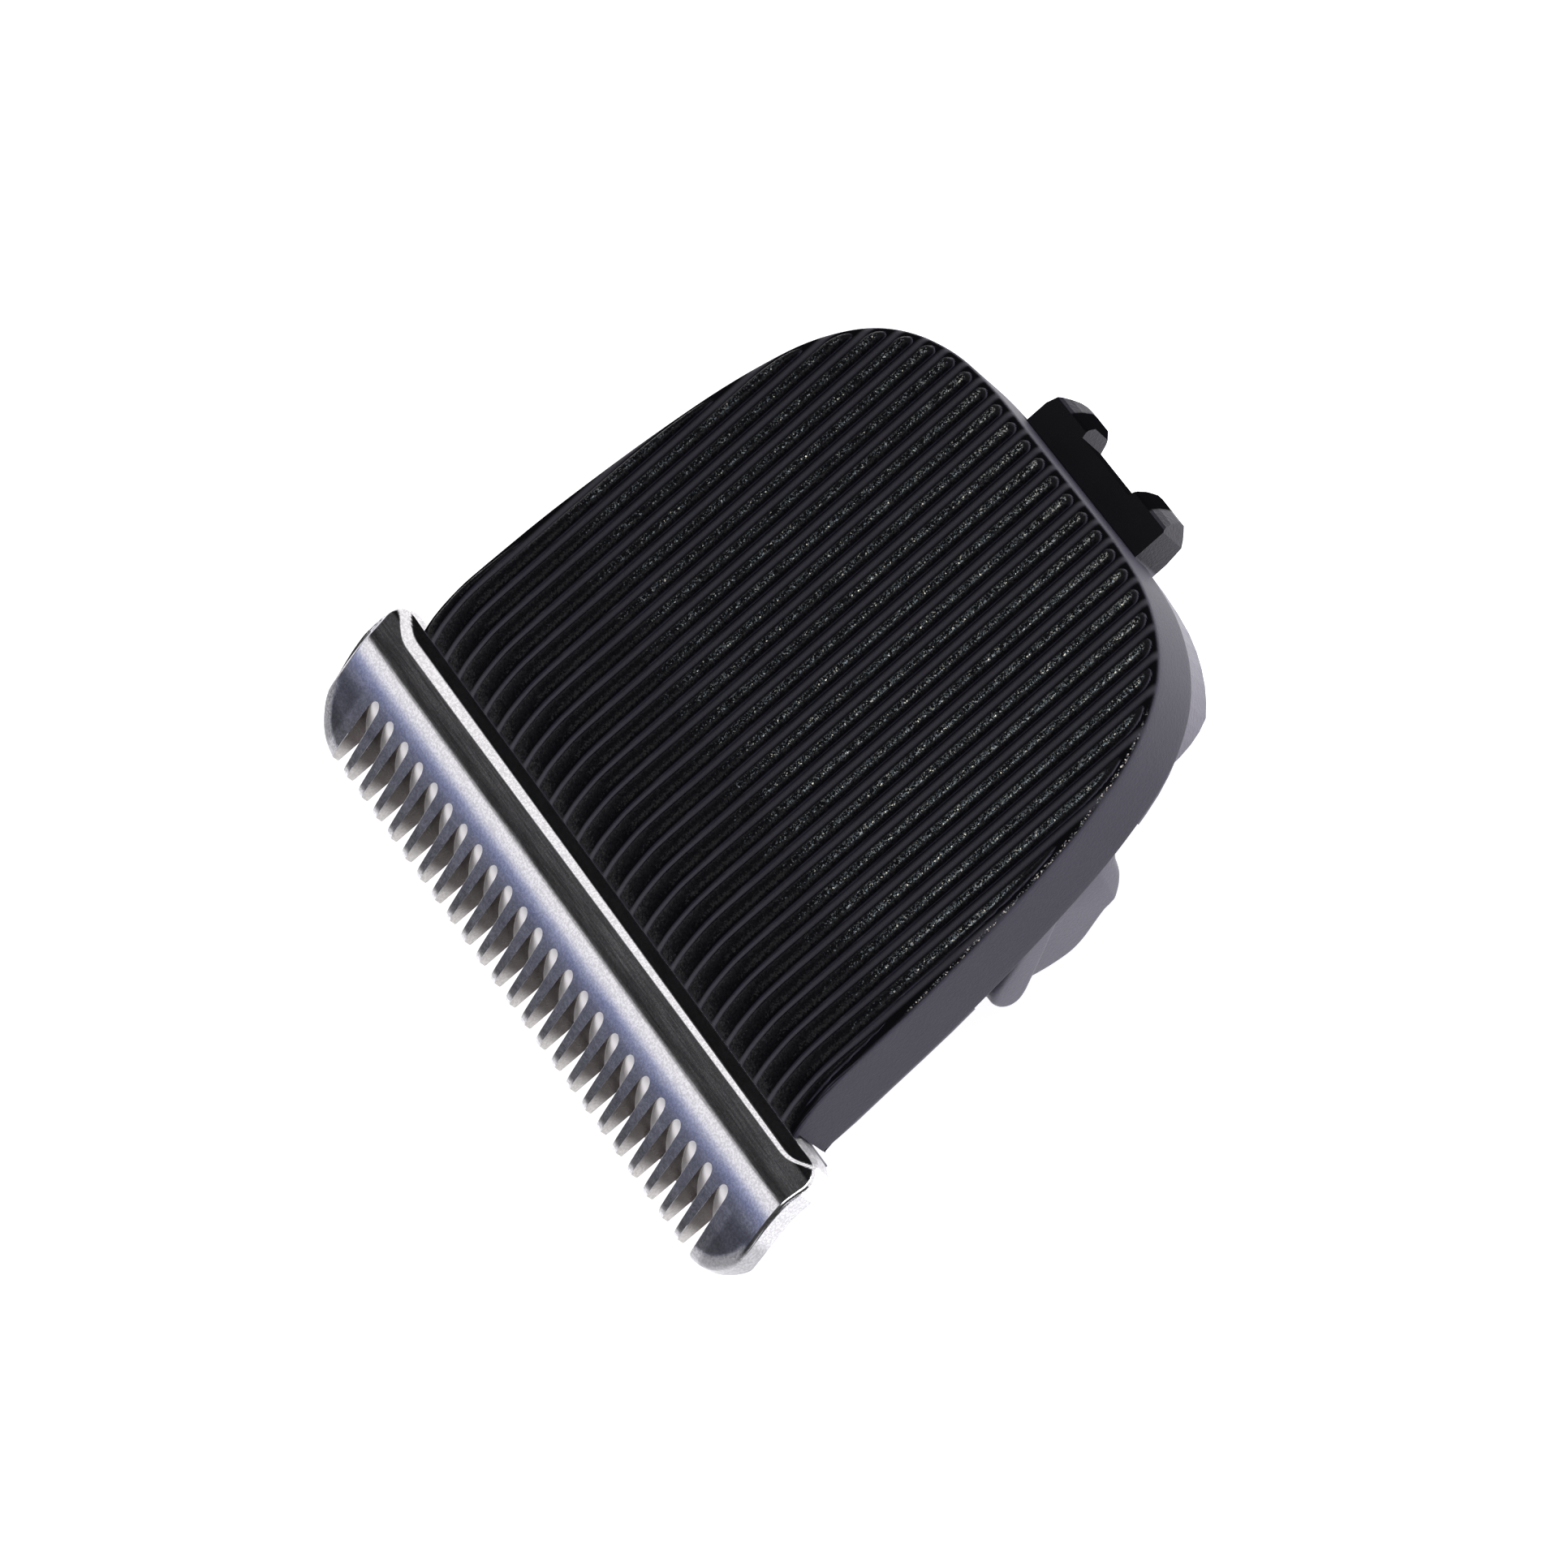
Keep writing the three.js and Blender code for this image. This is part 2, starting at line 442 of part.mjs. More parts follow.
// ---------------------------------------------------------------- slide pads under the holder
for (const [side, s] of [['left', -1], ['right', 1]]) {
  const x0 = Math.min(s * 8.6, s * 11.4), x1 = Math.max(s * 8.6, s * 11.4);
  put(`slide_pad_${side}`, prismZ(roundRect(x0, x1, -20.4, -18.8, 0.3, 2), HOLD_BOTTOM - 0.35, HOLD_BOTTOM - 0.05), 'follower');
}

// ---------------------------------------------------------------- tension_spring
// stamped leaf: a strip screwed to the tray floor and two arms rising to the holder
const LEAF = 0.35;
function leafPath(pts) {
  const lower = pts.map(([y, z]) => [y, z]);
  const upper = pts.map(([y, z]) => [y, z + LEAF]).reverse();
  return [...lower, ...upper];
}
const zStrip = TRAY_TOP + 0.1;
let spring = box(-8.2, 8.2, -12.2, -9.8, zStrip, zStrip + LEAF);
const armPts = [[-11.9, zStrip], [-12.6, zStrip + 0.02], [-17.4, -5.42], [-18.0, -5.30], [-18.3, -5.34]];
spring = spring.add(both(prismX(leafPath(armPts), 5.2, 7.0)));
spring = spring.subtract(both(rod(7.0, -11.0, -8, -4, 0.75)));
put('tension_spring', spring, 'spring');

// ---------------------------------------------------------------- screws
function crossRecess(x, y, z, size, depth, up) {
  const z0 = up ? z - depth : z - 0.5, z1 = up ? z + 0.5 : z + depth;
  return box(x - size, x + size, y - size * 0.26, y + size * 0.26, z0, z1)
    .add(box(x - size * 0.26, x + size * 0.26, y - size, y + size, z0, z1));
}
for (const [side, s] of [['left', -1], ['right', 1]]) {
  const { x, y } = BLADE_SCREW;
  let b = rod(s * x, y, BLADE_SCREW.bottom, -2.3, BLADE_SCREW.shank)
    .add(rod(s * x, y, -2.45, -1.65, BLADE_SCREW.shank, BLADE_SCREW.head));
  b = b.subtract(crossRecess(s * x, y, -1.65, 0.85, 0.35, true));
  put(`blade_screw_${side}`, b, 'screw');
  let c = rod(s * 7.0, -11.0, -8.1, zStrip + LEAF + 0.2, 0.62)
    .add(rod(s * 7.0, -11.0, zStrip + LEAF + 0.08, zStrip + LEAF + 0.6, 1.25, 1.0));
  c = c.subtract(crossRecess(s * 7.0, -11.0, zStrip + LEAF + 0.6, 0.65, 0.3, true));
  put(`spring_screw_${side}`, c, 'screw');
  let d = rod(s * COVER_SCREW.x, COVER_SCREW.y, -5.5, -2.1, 0.7)
    .add(rod(s * COVER_SCREW.x, COVER_SCREW.y, -6.05, -5.4, 1.2, 1.4));
  d = d.subtract(crossRecess(s * COVER_SCREW.x, COVER_SCREW.y, -6.05, 0.75, 0.32, false));
  put(`cover_screw_${side}`, d, 'screw');
}

// ---------------------------------------------------------------- seals
put('drive_seal', prismZ(roundRect(-7.0, 7.0, -8.4, 2.4, 1.6, 4), -8.0, TRAY_BOTTOM - 0.1,
  [roundRect(-5.6, 5.6, -7.0, 1.0, 1.0, 4)]), 'rubber');
put('hair_wiper', prismX([[-20.2, -5.4], [-19.55, -5.4], [-19.6, -5.2], [-19.85, -4.96], [-20.0, -4.96], [-20.15, -5.2]], -7.0, 7.0), 'rubber');

// ---------------------------------------------------------------- snap arms
for (const [side, s] of [['left', -1], ['right', 1]]) {
  let arm = prismX(ARM_OUTLINE, ARM_X0, ARM_X1);
  // outer face falls away in front of the crease
  arm = arm.subtract(prismX([[-2.0, -4.0], [-5.9, -8.5], [-7.4, -10], [-9, -10], [-9, -4]], 15.35, 17).intersect(
    box(14, 17, -9, 3, -10, -4)));
  // bottom hook lip turned inwards
  arm = arm.add(prismX([[-2.0, -8.55], [-3.8, -9.3], [-5.6, -8.7], [-5.6, -8.2], [-2.0, -8.2]], 14.0, 15.0));
  // root flange under the deck
  arm = arm.add(box(12.6, 15.0, -6.2, 0.2, -6.45, -5.75));
  put(`snap_arm_${side}`, s > 0 ? arm : mirrorX(arm), 'frame');
}

export default head;
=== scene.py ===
import math

import bmesh
import bpy
import numpy as np
from mathutils import Matrix, Vector


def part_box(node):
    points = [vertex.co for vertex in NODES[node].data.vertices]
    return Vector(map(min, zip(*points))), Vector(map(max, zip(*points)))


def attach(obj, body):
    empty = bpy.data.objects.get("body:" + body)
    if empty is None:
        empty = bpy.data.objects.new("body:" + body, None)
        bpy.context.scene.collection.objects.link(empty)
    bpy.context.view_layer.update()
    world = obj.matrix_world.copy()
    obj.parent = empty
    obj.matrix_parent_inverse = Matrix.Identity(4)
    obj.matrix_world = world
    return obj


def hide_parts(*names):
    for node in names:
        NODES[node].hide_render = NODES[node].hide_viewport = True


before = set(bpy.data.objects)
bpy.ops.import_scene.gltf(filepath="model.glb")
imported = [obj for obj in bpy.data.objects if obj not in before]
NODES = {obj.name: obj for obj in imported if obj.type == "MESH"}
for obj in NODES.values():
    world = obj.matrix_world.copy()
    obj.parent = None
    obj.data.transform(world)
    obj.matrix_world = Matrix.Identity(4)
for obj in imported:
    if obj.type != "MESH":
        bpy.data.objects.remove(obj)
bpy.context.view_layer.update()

# ---------------------------------------------------------------- frame
# The head is drawn in a local frame, in millimetres: x across, y towards the tongue, z = 0 on the
# groove floor of the ribbed face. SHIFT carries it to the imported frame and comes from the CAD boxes.
MM = 0.001
_lo, _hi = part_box("front_cover")
SHIFT = np.array([0.0, _lo.y / MM + 18.45, _lo.z / MM + 4.4])

PITCH = 1.2776
RIBS = 28
RIB_H = 0.30
GROOVE = 0.25
BOTTOM = -4.2
FRONT_Y = -18.45
OUTLINE = [(10.85, 3.0), (10.82, 5.4), (10.55, 8.0), (9.95, 10.0), (9.1, 11.6), (8.0, 12.9), (6.6, 13.95),
           (4.8, 14.85), (2.5, 15.55), (0.0, 16.1), (-3.0, 16.55), (-6.0, 16.9), (-10.0, 17.25), (-14.0, 17.42),
           (-18.0, 17.6)]
FLOOR = [(-19.0, -1.32), (-18.45, -1.04), (-18.0, -0.8), (-17.5, -0.57), (-17.0, -0.4), (-16.5, -0.26),
         (-16.0, -0.14), (-15.3, -0.03), (-14.0, 0.03), (-7.0, 0.0), (0.0, -0.02), (6.0, 0.0), (12.0, 0.03)]


# ---------------------------------------------------------------- numbers
def smooth(a, b, x):
    t = np.clip((np.asarray(x, float) - a) / (b - a), 0, 1)
    return t * t * (3 - 2 * t)


def hermite(table, x):
    """Smooth curve through a table of (x, value), without overshoot."""
    xs = np.array([p[0] for p in table], float)
    ys = np.array([p[1] for p in table], float)
    d = np.diff(ys) / np.diff(xs)
    m = np.zeros(len(xs))
    m[0], m[-1] = d[0], d[-1]
    for i in range(1, len(xs) - 1):
        m[i] = 0.0 if d[i - 1] * d[i] <= 0 else 2 * d[i - 1] * d[i] / (d[i - 1] + d[i])
    x = np.clip(np.asarray(x, float), xs[0], xs[-1])
    k = np.clip(np.searchsorted(xs, x, side="right") - 1, 0, len(xs) - 2)
    h = xs[k + 1] - xs[k]
    t = (x - xs[k]) / h
    return ((2 * t ** 3 - 3 * t ** 2 + 1) * ys[k] + (t ** 3 - 2 * t ** 2 + t) * h * m[k]
            + (-2 * t ** 3 + 3 * t ** 2) * ys[k + 1] + (t ** 3 - t ** 2) * h * m[k + 1])


def catmull(points, per=24):
    """Dense points on the uniform Catmull-Rom curve through points."""
    p = np.array(points, float)
    out = []
    for i in range(len(p) - 1):
        a, b, c, d = p[max(i - 1, 0)], p[i], p[i + 1], p[min(i + 2, len(p) - 1)]
        for t in np.linspace(0, 1, per, endpoint=False):
            v0, v1 = (c - a) / 2, (d - b) / 2
            out.append((2 * b - 2 * c + v0 + v1) * t ** 3 + (-3 * b + 3 * c - 2 * v0 - v1) * t ** 2 + v0 * t + b)
    out.append(p[-1])
    return np.array(out)


def polyline_distance(px, py, line):
    """Distance of each point to a polyline."""
    a, b = line[:-1], line[1:]
    ab = b - a
    best = np.full(px.shape, 1e9)
    for (ax, ay), (dx, dy) in zip(a, ab):
        t = np.clip(((px - ax) * dx + (py - ay) * dy) / (dx * dx + dy * dy + 1e-12), 0, 1)
        best = np.minimum(best, (px - ax - t * dx) ** 2 + (py - ay - t * dy) ** 2)
    return np.sqrt(best)


# ---------------------------------------------------------------- meshes
def mesh_object(name, verts, faces, smooth_angle=40.0, attrs=None):
    me = bpy.data.meshes.new(name)
    v = (np.asarray(verts, float) + SHIFT) * MM
    me.from_pydata(v.tolist(), [], [list(f) for f in faces])
    for key, values in (attrs or {}).items():
        a = me.attributes.new(key, "FLOAT", "POINT")
        a.data.foreach_set("value", np.asarray(values, np.float32))
    me.update()
    ob = bpy.data.objects.new(name, me)
    bpy.context.scene.collection.objects.link(ob)
    if smooth_angle is not None:
        shade(ob, smooth_angle)
    return ob


def to_scene(*q):
    return tuple((np.array(q, float) + SHIFT) * MM)


def to_local(co):
    return np.array(co, float) / MM - SHIFT


def shade(ob, angle):
    me = ob.data
    me.polygons.foreach_set("use_smooth", np.ones(len(me.polygons), bool))
    me.set_sharp_from_angle(angle=math.radians(angle))
    me.update()


def grid_solid(top, ring_rows, attrs=None):
    """Closed solid from a grid of top points (rows x columns x 3) and rows of points below its rim."""
    m, n = top.shape[:2]
    verts = [top.reshape(-1, 3)]
    idx = np.arange(m * n).reshape(m, n)
    faces = []
    a, b, c, d = idx[:-1, :-1].ravel(), idx[:-1, 1:].ravel(), idx[1:, 1:].ravel(), idx[1:, :-1].ravel()
    faces += np.stack([a, b, c, d], -1).tolist()
    ring = list(idx[0, :]) + list(idx[1:, -1]) + list(idx[-1, -2::-1]) + list(idx[-2:0:-1, 0])
    prev = ring
    base = m * n
    for row in ring_rows(ring):
        verts.append(row)
        cur = list(range(base, base + len(ring)))
        base += len(ring)
        for k in range(len(ring)):
            k2 = (k + 1) % len(ring)
            faces.append([prev[k], cur[k], cur[k2], prev[k2]])
        prev = cur
    return np.concatenate(verts), faces, ring, prev


def prism(points, z0, z1, axis="z"):
    """Closed prism of an anticlockwise outline. axis z: outline in (x, y); axis x: outline in (y, z)."""
    p = [tuple(q) for q in points]
    area = sum(p[i][0] * p[(i + 1) % len(p)][1] - p[(i + 1) % len(p)][0] * p[i][1] for i in range(len(p)))
    if area < 0:
        p = p[::-1]
    n = len(p)
    if axis == "z":
        v = [(x, y, z0) for x, y in p] + [(x, y, z1) for x, y in p]
    else:
        v = [(z0, y, z) for y, z in p] + [(z1, y, z) for y, z in p]
    f = [list(range(n))[::-1], list(range(n, 2 * n))]
    f += [[i, (i + 1) % n, n + (i + 1) % n, n + i] for i in range(n)]
    return v, f


def cube(x0, x1, y0, y1, z0, z1):
    return prism([(x0, y0), (x1, y0), (x1, y1), (x0, y1)], z0, z1)


def rod(x, y, z0, z1, r0, r1=None, n=48):
    r1 = r0 if r1 is None else r1
    a = [2 * math.pi * i / n for i in range(n)]
    v = [(x + r0 * math.cos(t), y + r0 * math.sin(t), z0) for t in a]
    v += [(x + r1 * math.cos(t), y + r1 * math.sin(t), z1) for t in a]
    f = [list(range(n))[::-1], list(range(n, 2 * n))]
    f += [[i, (i + 1) % n, n + (i + 1) % n, n + i] for i in range(n)]
    return v, f


def mirrored(solid):
    v, f = solid
    return [(-x, y, z) for x, y, z in v], [list(q)[::-1] for q in f]


def join_solids(solids):
    verts, faces = [], []
    for v, f in solids:
        base = len(verts)
        verts += [tuple(q) for q in v]
        faces += [[base + i for i in q] for q in f]
    return verts, faces


def apply_modifiers(ob):
    dg = bpy.context.evaluated_depsgraph_get()
    me = bpy.data.meshes.new_from_object(ob.evaluated_get(dg), preserve_all_data_layers=True, depsgraph=dg)
    ob.modifiers.clear()
    old = ob.data
    ob.data = me
    me.name = ob.name
    bpy.data.meshes.remove(old)
    return ob


def boolean(ob, solids, operation, solver="MANIFOLD"):
    v, f = join_solids(solids)
    tool = mesh_object("tool", v, f, None)
    bm = bmesh.new()
    bm.from_mesh(tool.data)
    bmesh.ops.recalc_face_normals(bm, faces=bm.faces)
    bm.to_mesh(tool.data)
    bm.free()
    m = ob.modifiers.new("cut", "BOOLEAN")
    m.operation = operation
    m.solver = solver
    m.object = tool
    apply_modifiers(ob)
    me = tool.data
    bpy.data.objects.remove(tool)
    bpy.data.meshes.remove(me)
    if not ob.data.polygons:
        raise RuntimeError("boolean on " + ob.name + " gave nothing")
    return ob


def clean(ob, merge=0.002):
    bm = bmesh.new()
    bm.from_mesh(ob.data)
    bmesh.ops.remove_doubles(bm, verts=bm.verts, dist=merge * MM)
    bmesh.ops.dissolve_degenerate(bm, edges=bm.edges, dist=0.0005 * MM)
    bmesh.ops.recalc_face_normals(bm, faces=bm.faces)
    bm.to_mesh(ob.data)
    bm.free()


def soften(ob, width, segments=2, angle=35, flat=1.5):
    """Rounds the edges of a faceted piece: flat facets are merged first."""
    d = ob.modifiers.new("flat", "DECIMATE")
    d.decimate_type = "DISSOLVE"
    d.angle_limit = math.radians(flat)
    b = ob.modifiers.new("round", "BEVEL")
    b.width = width * MM
    b.segments = segments
    b.limit_method = "ANGLE"
    b.angle_limit = math.radians(angle)
    b.use_clamp_overlap = True
    b.harden_normals = False
    w = ob.modifiers.new("normals", "WEIGHTED_NORMAL")
    w.keep_sharp = True


# ---------------------------------------------------------------- materials
class Nodes:
    """Short way of writing a node tree."""

    def __init__(self, tree):
        self.t = tree
        self.t.nodes.clear()

    def add(self, kind, inputs=None, **props):
        node = self.t.nodes.new(kind)
        for k, v in props.items():
            setattr(node, k, v)
        for k, v in (inputs or {}).items():
            self.put(node.inputs[k], v)
        return node

    def put(self, socket, value):
        if isinstance(value, bpy.types.Node):
            value = value.outputs[0]
        if isinstance(value, bpy.types.NodeSocket):
            self.t.links.new(value, socket)
        else:
            socket.default_value = value

    def math(self, op, a, b=0.0, c=0.0, clamp=False):
        n = self.t.nodes.new("ShaderNodeMath")
        n.operation = op
        n.use_clamp = clamp
        for i, v in enumerate((a, b, c)):
            self.put(n.inputs[i], v)
        return n.outputs[0]

    def step(self, a, b, x):
        """0 below a, 1 above b, smooth between."""
        n = self.t.nodes.new("ShaderNodeMapRange")
        n.interpolation_type = "SMOOTHSTEP"
        lo, hi, f0, f1 = (a, b, 0.0, 1.0) if a < b else (b, a, 1.0, 0.0)
        for key, v in (("Value", x), ("From Min", lo), ("From Max", hi), ("To Min", f0), ("To Max", f1)):
            self.put(n.inputs[key], v)
        return n.outputs[0]

    def mix(self, f, a, b):
        n = self.t.nodes.new("ShaderNodeMix")
        n.data_type = "FLOAT"
        self.put(n.inputs[0], f)
        self.put(n.inputs[2], a)
        self.put(n.inputs[3], b)
        return n.outputs[0]

    def mixc(self, f, a, b, blend="MIX"):
        n = self.t.nodes.new("ShaderNodeMix")
        n.data_type = "RGBA"
        n.blend_type = blend
        self.put(n.inputs[0], f)
        self.put(n.inputs[6], a if not isinstance(a, tuple) else (*a, 1)[:4])
        self.put(n.inputs[7], b if not isinstance(b, tuple) else (*b, 1)[:4])
        return n.outputs[2]

    def vmath(self, op, a, b=(0, 0, 0), scale=None):
        n = self.t.nodes.new("ShaderNodeVectorMath")
        n.operation = op
        self.put(n.inputs[0], a)
        self.put(n.inputs[1], b)
        if scale is not None:
            self.put(n.inputs["Scale"], scale)
        return n.outputs["Value"] if op in ("DOT_PRODUCT", "LENGTH") else n.outputs[0]

    def noise(self, vec, size_mm, detail=2.0, rough=0.5, dist=0.0):
        """size_mm is the size of one blob."""
        n = self.add("ShaderNodeTexNoise", {"Vector": vec, "Scale": 1.0 / size_mm, "Detail": detail, "Roughness": rough,
                                            "Distortion": dist})
        return n.outputs[0]

    def cells(self, vec, size_mm, feature="F1"):
        return self.add("ShaderNodeTexVoronoi", {"Vector": vec, "Scale": 1.0 / size_mm}, feature=feature)

    def place(self):
        """Position in millimetres in the local frame of the head."""
        tc = self.add("ShaderNodeTexCoord")
        scaled = self.vmath("SCALE", tc.outputs["Object"], scale=1 / MM)
        return self.vmath("SUBTRACT", scaled, tuple(SHIFT))

    def stretch(self, vec, s):
        return self.vmath("MULTIPLY", vec, s)

    def bump(self, height, strength, dist_mm, normal=None):
        n = self.add("ShaderNodeBump", {"Height": height, "Strength": strength, "Distance": dist_mm * MM})
        if normal is not None:
            self.put(n.inputs["Normal"], normal)
        return n.outputs[0]

    def edge(self, radius_mm):
        n = self.add("ShaderNodeBevel", {"Radius": radius_mm * MM}, samples=4)
        return n.outputs[0]


def material(name, colour, metal=0.0):
    m = bpy.data.materials.new(name)
    m.use_nodes = True
    m.diffuse_color = (*colour, 1)
    m.metallic = metal
    k = Nodes(m.node_tree)
    bsdf = k.add("ShaderNodeBsdfPrincipled")
    bsdf.inputs["Metallic"].default_value = metal
    bsdf.inputs["Base Color"].default_value = (*colour, 1)
    out = k.add("ShaderNodeOutputMaterial")
    m.node_tree.links.new(bsdf.outputs[0], out.inputs[0])
    return m, k, bsdf


def grain_bump(k, p, amount=1.0, normal=None, size=0.16):
    """Leather-like moulding grain: small irregular pebbles with finer wrinkles between them."""
    warp = k.vmath("ADD", p, k.vmath("SCALE", k.add("ShaderNodeTexNoise", {"Vector": p, "Scale": 4.0, "Detail": 2.0}).outputs[1], scale=0.25))
    pebble = k.cells(warp, size, "SMOOTH_F1").outputs["Distance"]
    fine = k.noise(k.stretch(p, (1.0, 0.6, 1.0)), size * 0.32, 3.0, 0.6)
    h = k.math("ADD", k.math("MULTIPLY", pebble, 0.7), k.math("MULTIPLY", fine, 0.55))
    return k.bump(h, 0.55 * amount, 0.016, normal), pebble, fine


def plastic_material(name, colour, rough, amount=1.0, size=0.16, spec=0.5, ior=1.5):
    m, k, b = material(name, colour)
    p = k.place()
    n, pebble, fine = grain_bump(k, p, amount, None, size)
    big = k.noise(p, 2.4, 3.0)
    k.put(b.inputs["Normal"], n)
    k.put(b.inputs["Base Color"], k.mixc(big, tuple(c * 0.86 for c in colour), tuple(min(1, c * 1.16) for c in colour)))
    r = k.math("ADD", k.math("MULTIPLY", k.math("SUBTRACT", fine, 0.5), 0.18), k.math("ADD", k.math("MULTIPLY", big, 0.10), rough - 0.05))
    k.put(b.inputs["Roughness"], r)
    b.inputs["Specular IOR Level"].default_value = spec
    b.inputs["IOR"].default_value = ior
    return m


def frame_material():
    """Grained satin plastic; the upper faces of the tongue are smooth and darker, as a polished mould leaves them. The
    rear wall of the tongue notch and the recess beside the snap arms are painted dark as shade.
    """
    m, k, b = material("frame_plastic", (0.07, 0.068, 0.085))
    p = k.place()
    x, y, z = k.add("ShaderNodeSeparateXYZ", {0: p}).outputs
    geo = k.add("ShaderNodeNewGeometry")
    up = k.add("ShaderNodeSeparateXYZ", {0: geo.outputs["True Normal"]}).outputs[2]
    smooth_top = k.math("MULTIPLY", k.step(6.0, 6.5, y), k.step(0.80, 0.95, up))
    rear = k.step(5.0, 7.0, y)
    grain, pebble, fine = grain_bump(k, p, 2.6, None, 0.16)
    plain = k.bump(k.noise(p, 0.5, 3.0), 0.10, 0.01)
    mixn = k.add("ShaderNodeMix", data_type="VECTOR")
    k.put(mixn.inputs[0], smooth_top)
    k.put(mixn.inputs[4], grain)
    k.put(mixn.inputs[5], plain)
    k.put(b.inputs["Normal"], k.vmath("NORMALIZE", mixn.outputs[1]))
    big = k.noise(p, 2.4, 3.0)
    tone = k.mixc(big, (0.082, 0.077, 0.112), (0.100, 0.095, 0.136))
    tongue = k.math("MULTIPLY", k.step(10.7, 10.95, y), 1.0)
    tone = k.mixc(tongue, tone, (0.016, 0.0150, 0.024))
    wall_y = k.add("ShaderNodeSeparateXYZ", {0: geo.outputs["True Normal"]}).outputs[1]
    # rear wall of the tongue notch: painted shade, near-black with no specular
    painted_notch_shade = k.math("MULTIPLY", k.math("MULTIPLY", k.step(0.3, 0.5, wall_y), k.step(3.6, 3.4, k.math("ABSOLUTE", x))),
                   k.math("MULTIPLY", k.step(10.7, 10.9, y), k.step(-7.0, -6.6, z)))
    # sideways faces of the recess beside the snap arms: painted shade, near-black
    painted_recess_shade = k.math("MULTIPLY", k.math("MULTIPLY", k.step(15.16, 15.08, k.math("ABSOLUTE", x)), k.step(13.0, 13.2, k.math("ABSOLUTE", x))),
                    k.step(-1.5, -2.0, y))
    sideways = k.add("ShaderNodeSeparateXYZ", {0: geo.outputs["True Normal"]}).outputs[0]
    painted_recess_shade = k.math("MULTIPLY", painted_recess_shade, k.step(0.3, 0.6, k.math("ABSOLUTE", sideways)))
    tone = k.mixc(painted_recess_shade, tone, (0.006, 0.0058, 0.0075))
    smooth_top_and_painted_shade = k.math("MAXIMUM", k.math("MAXIMUM", smooth_top, painted_notch_shade), painted_recess_shade)
    k.put(b.inputs["Base Color"], k.mixc(smooth_top, k.mixc(painted_notch_shade, tone, (0.004, 0.004, 0.005)), (0.0045, 0.0042, 0.0060)))
    level = k.mix(smooth_top_and_painted_shade, k.mix(tongue, 0.5, 0.13), 0.22)
    k.put(b.inputs["Specular IOR Level"], k.mix(painted_notch_shade, level, 0.0))
    rough = k.math("ADD", k.math("MULTIPLY", fine, 0.16), 0.34)
    k.put(b.inputs["Roughness"], k.mix(smooth_top, rough, k.math("ADD", 0.22, k.math("MULTIPLY", big, 0.10))))
    b.inputs["IOR"].default_value = 1.58
    return m


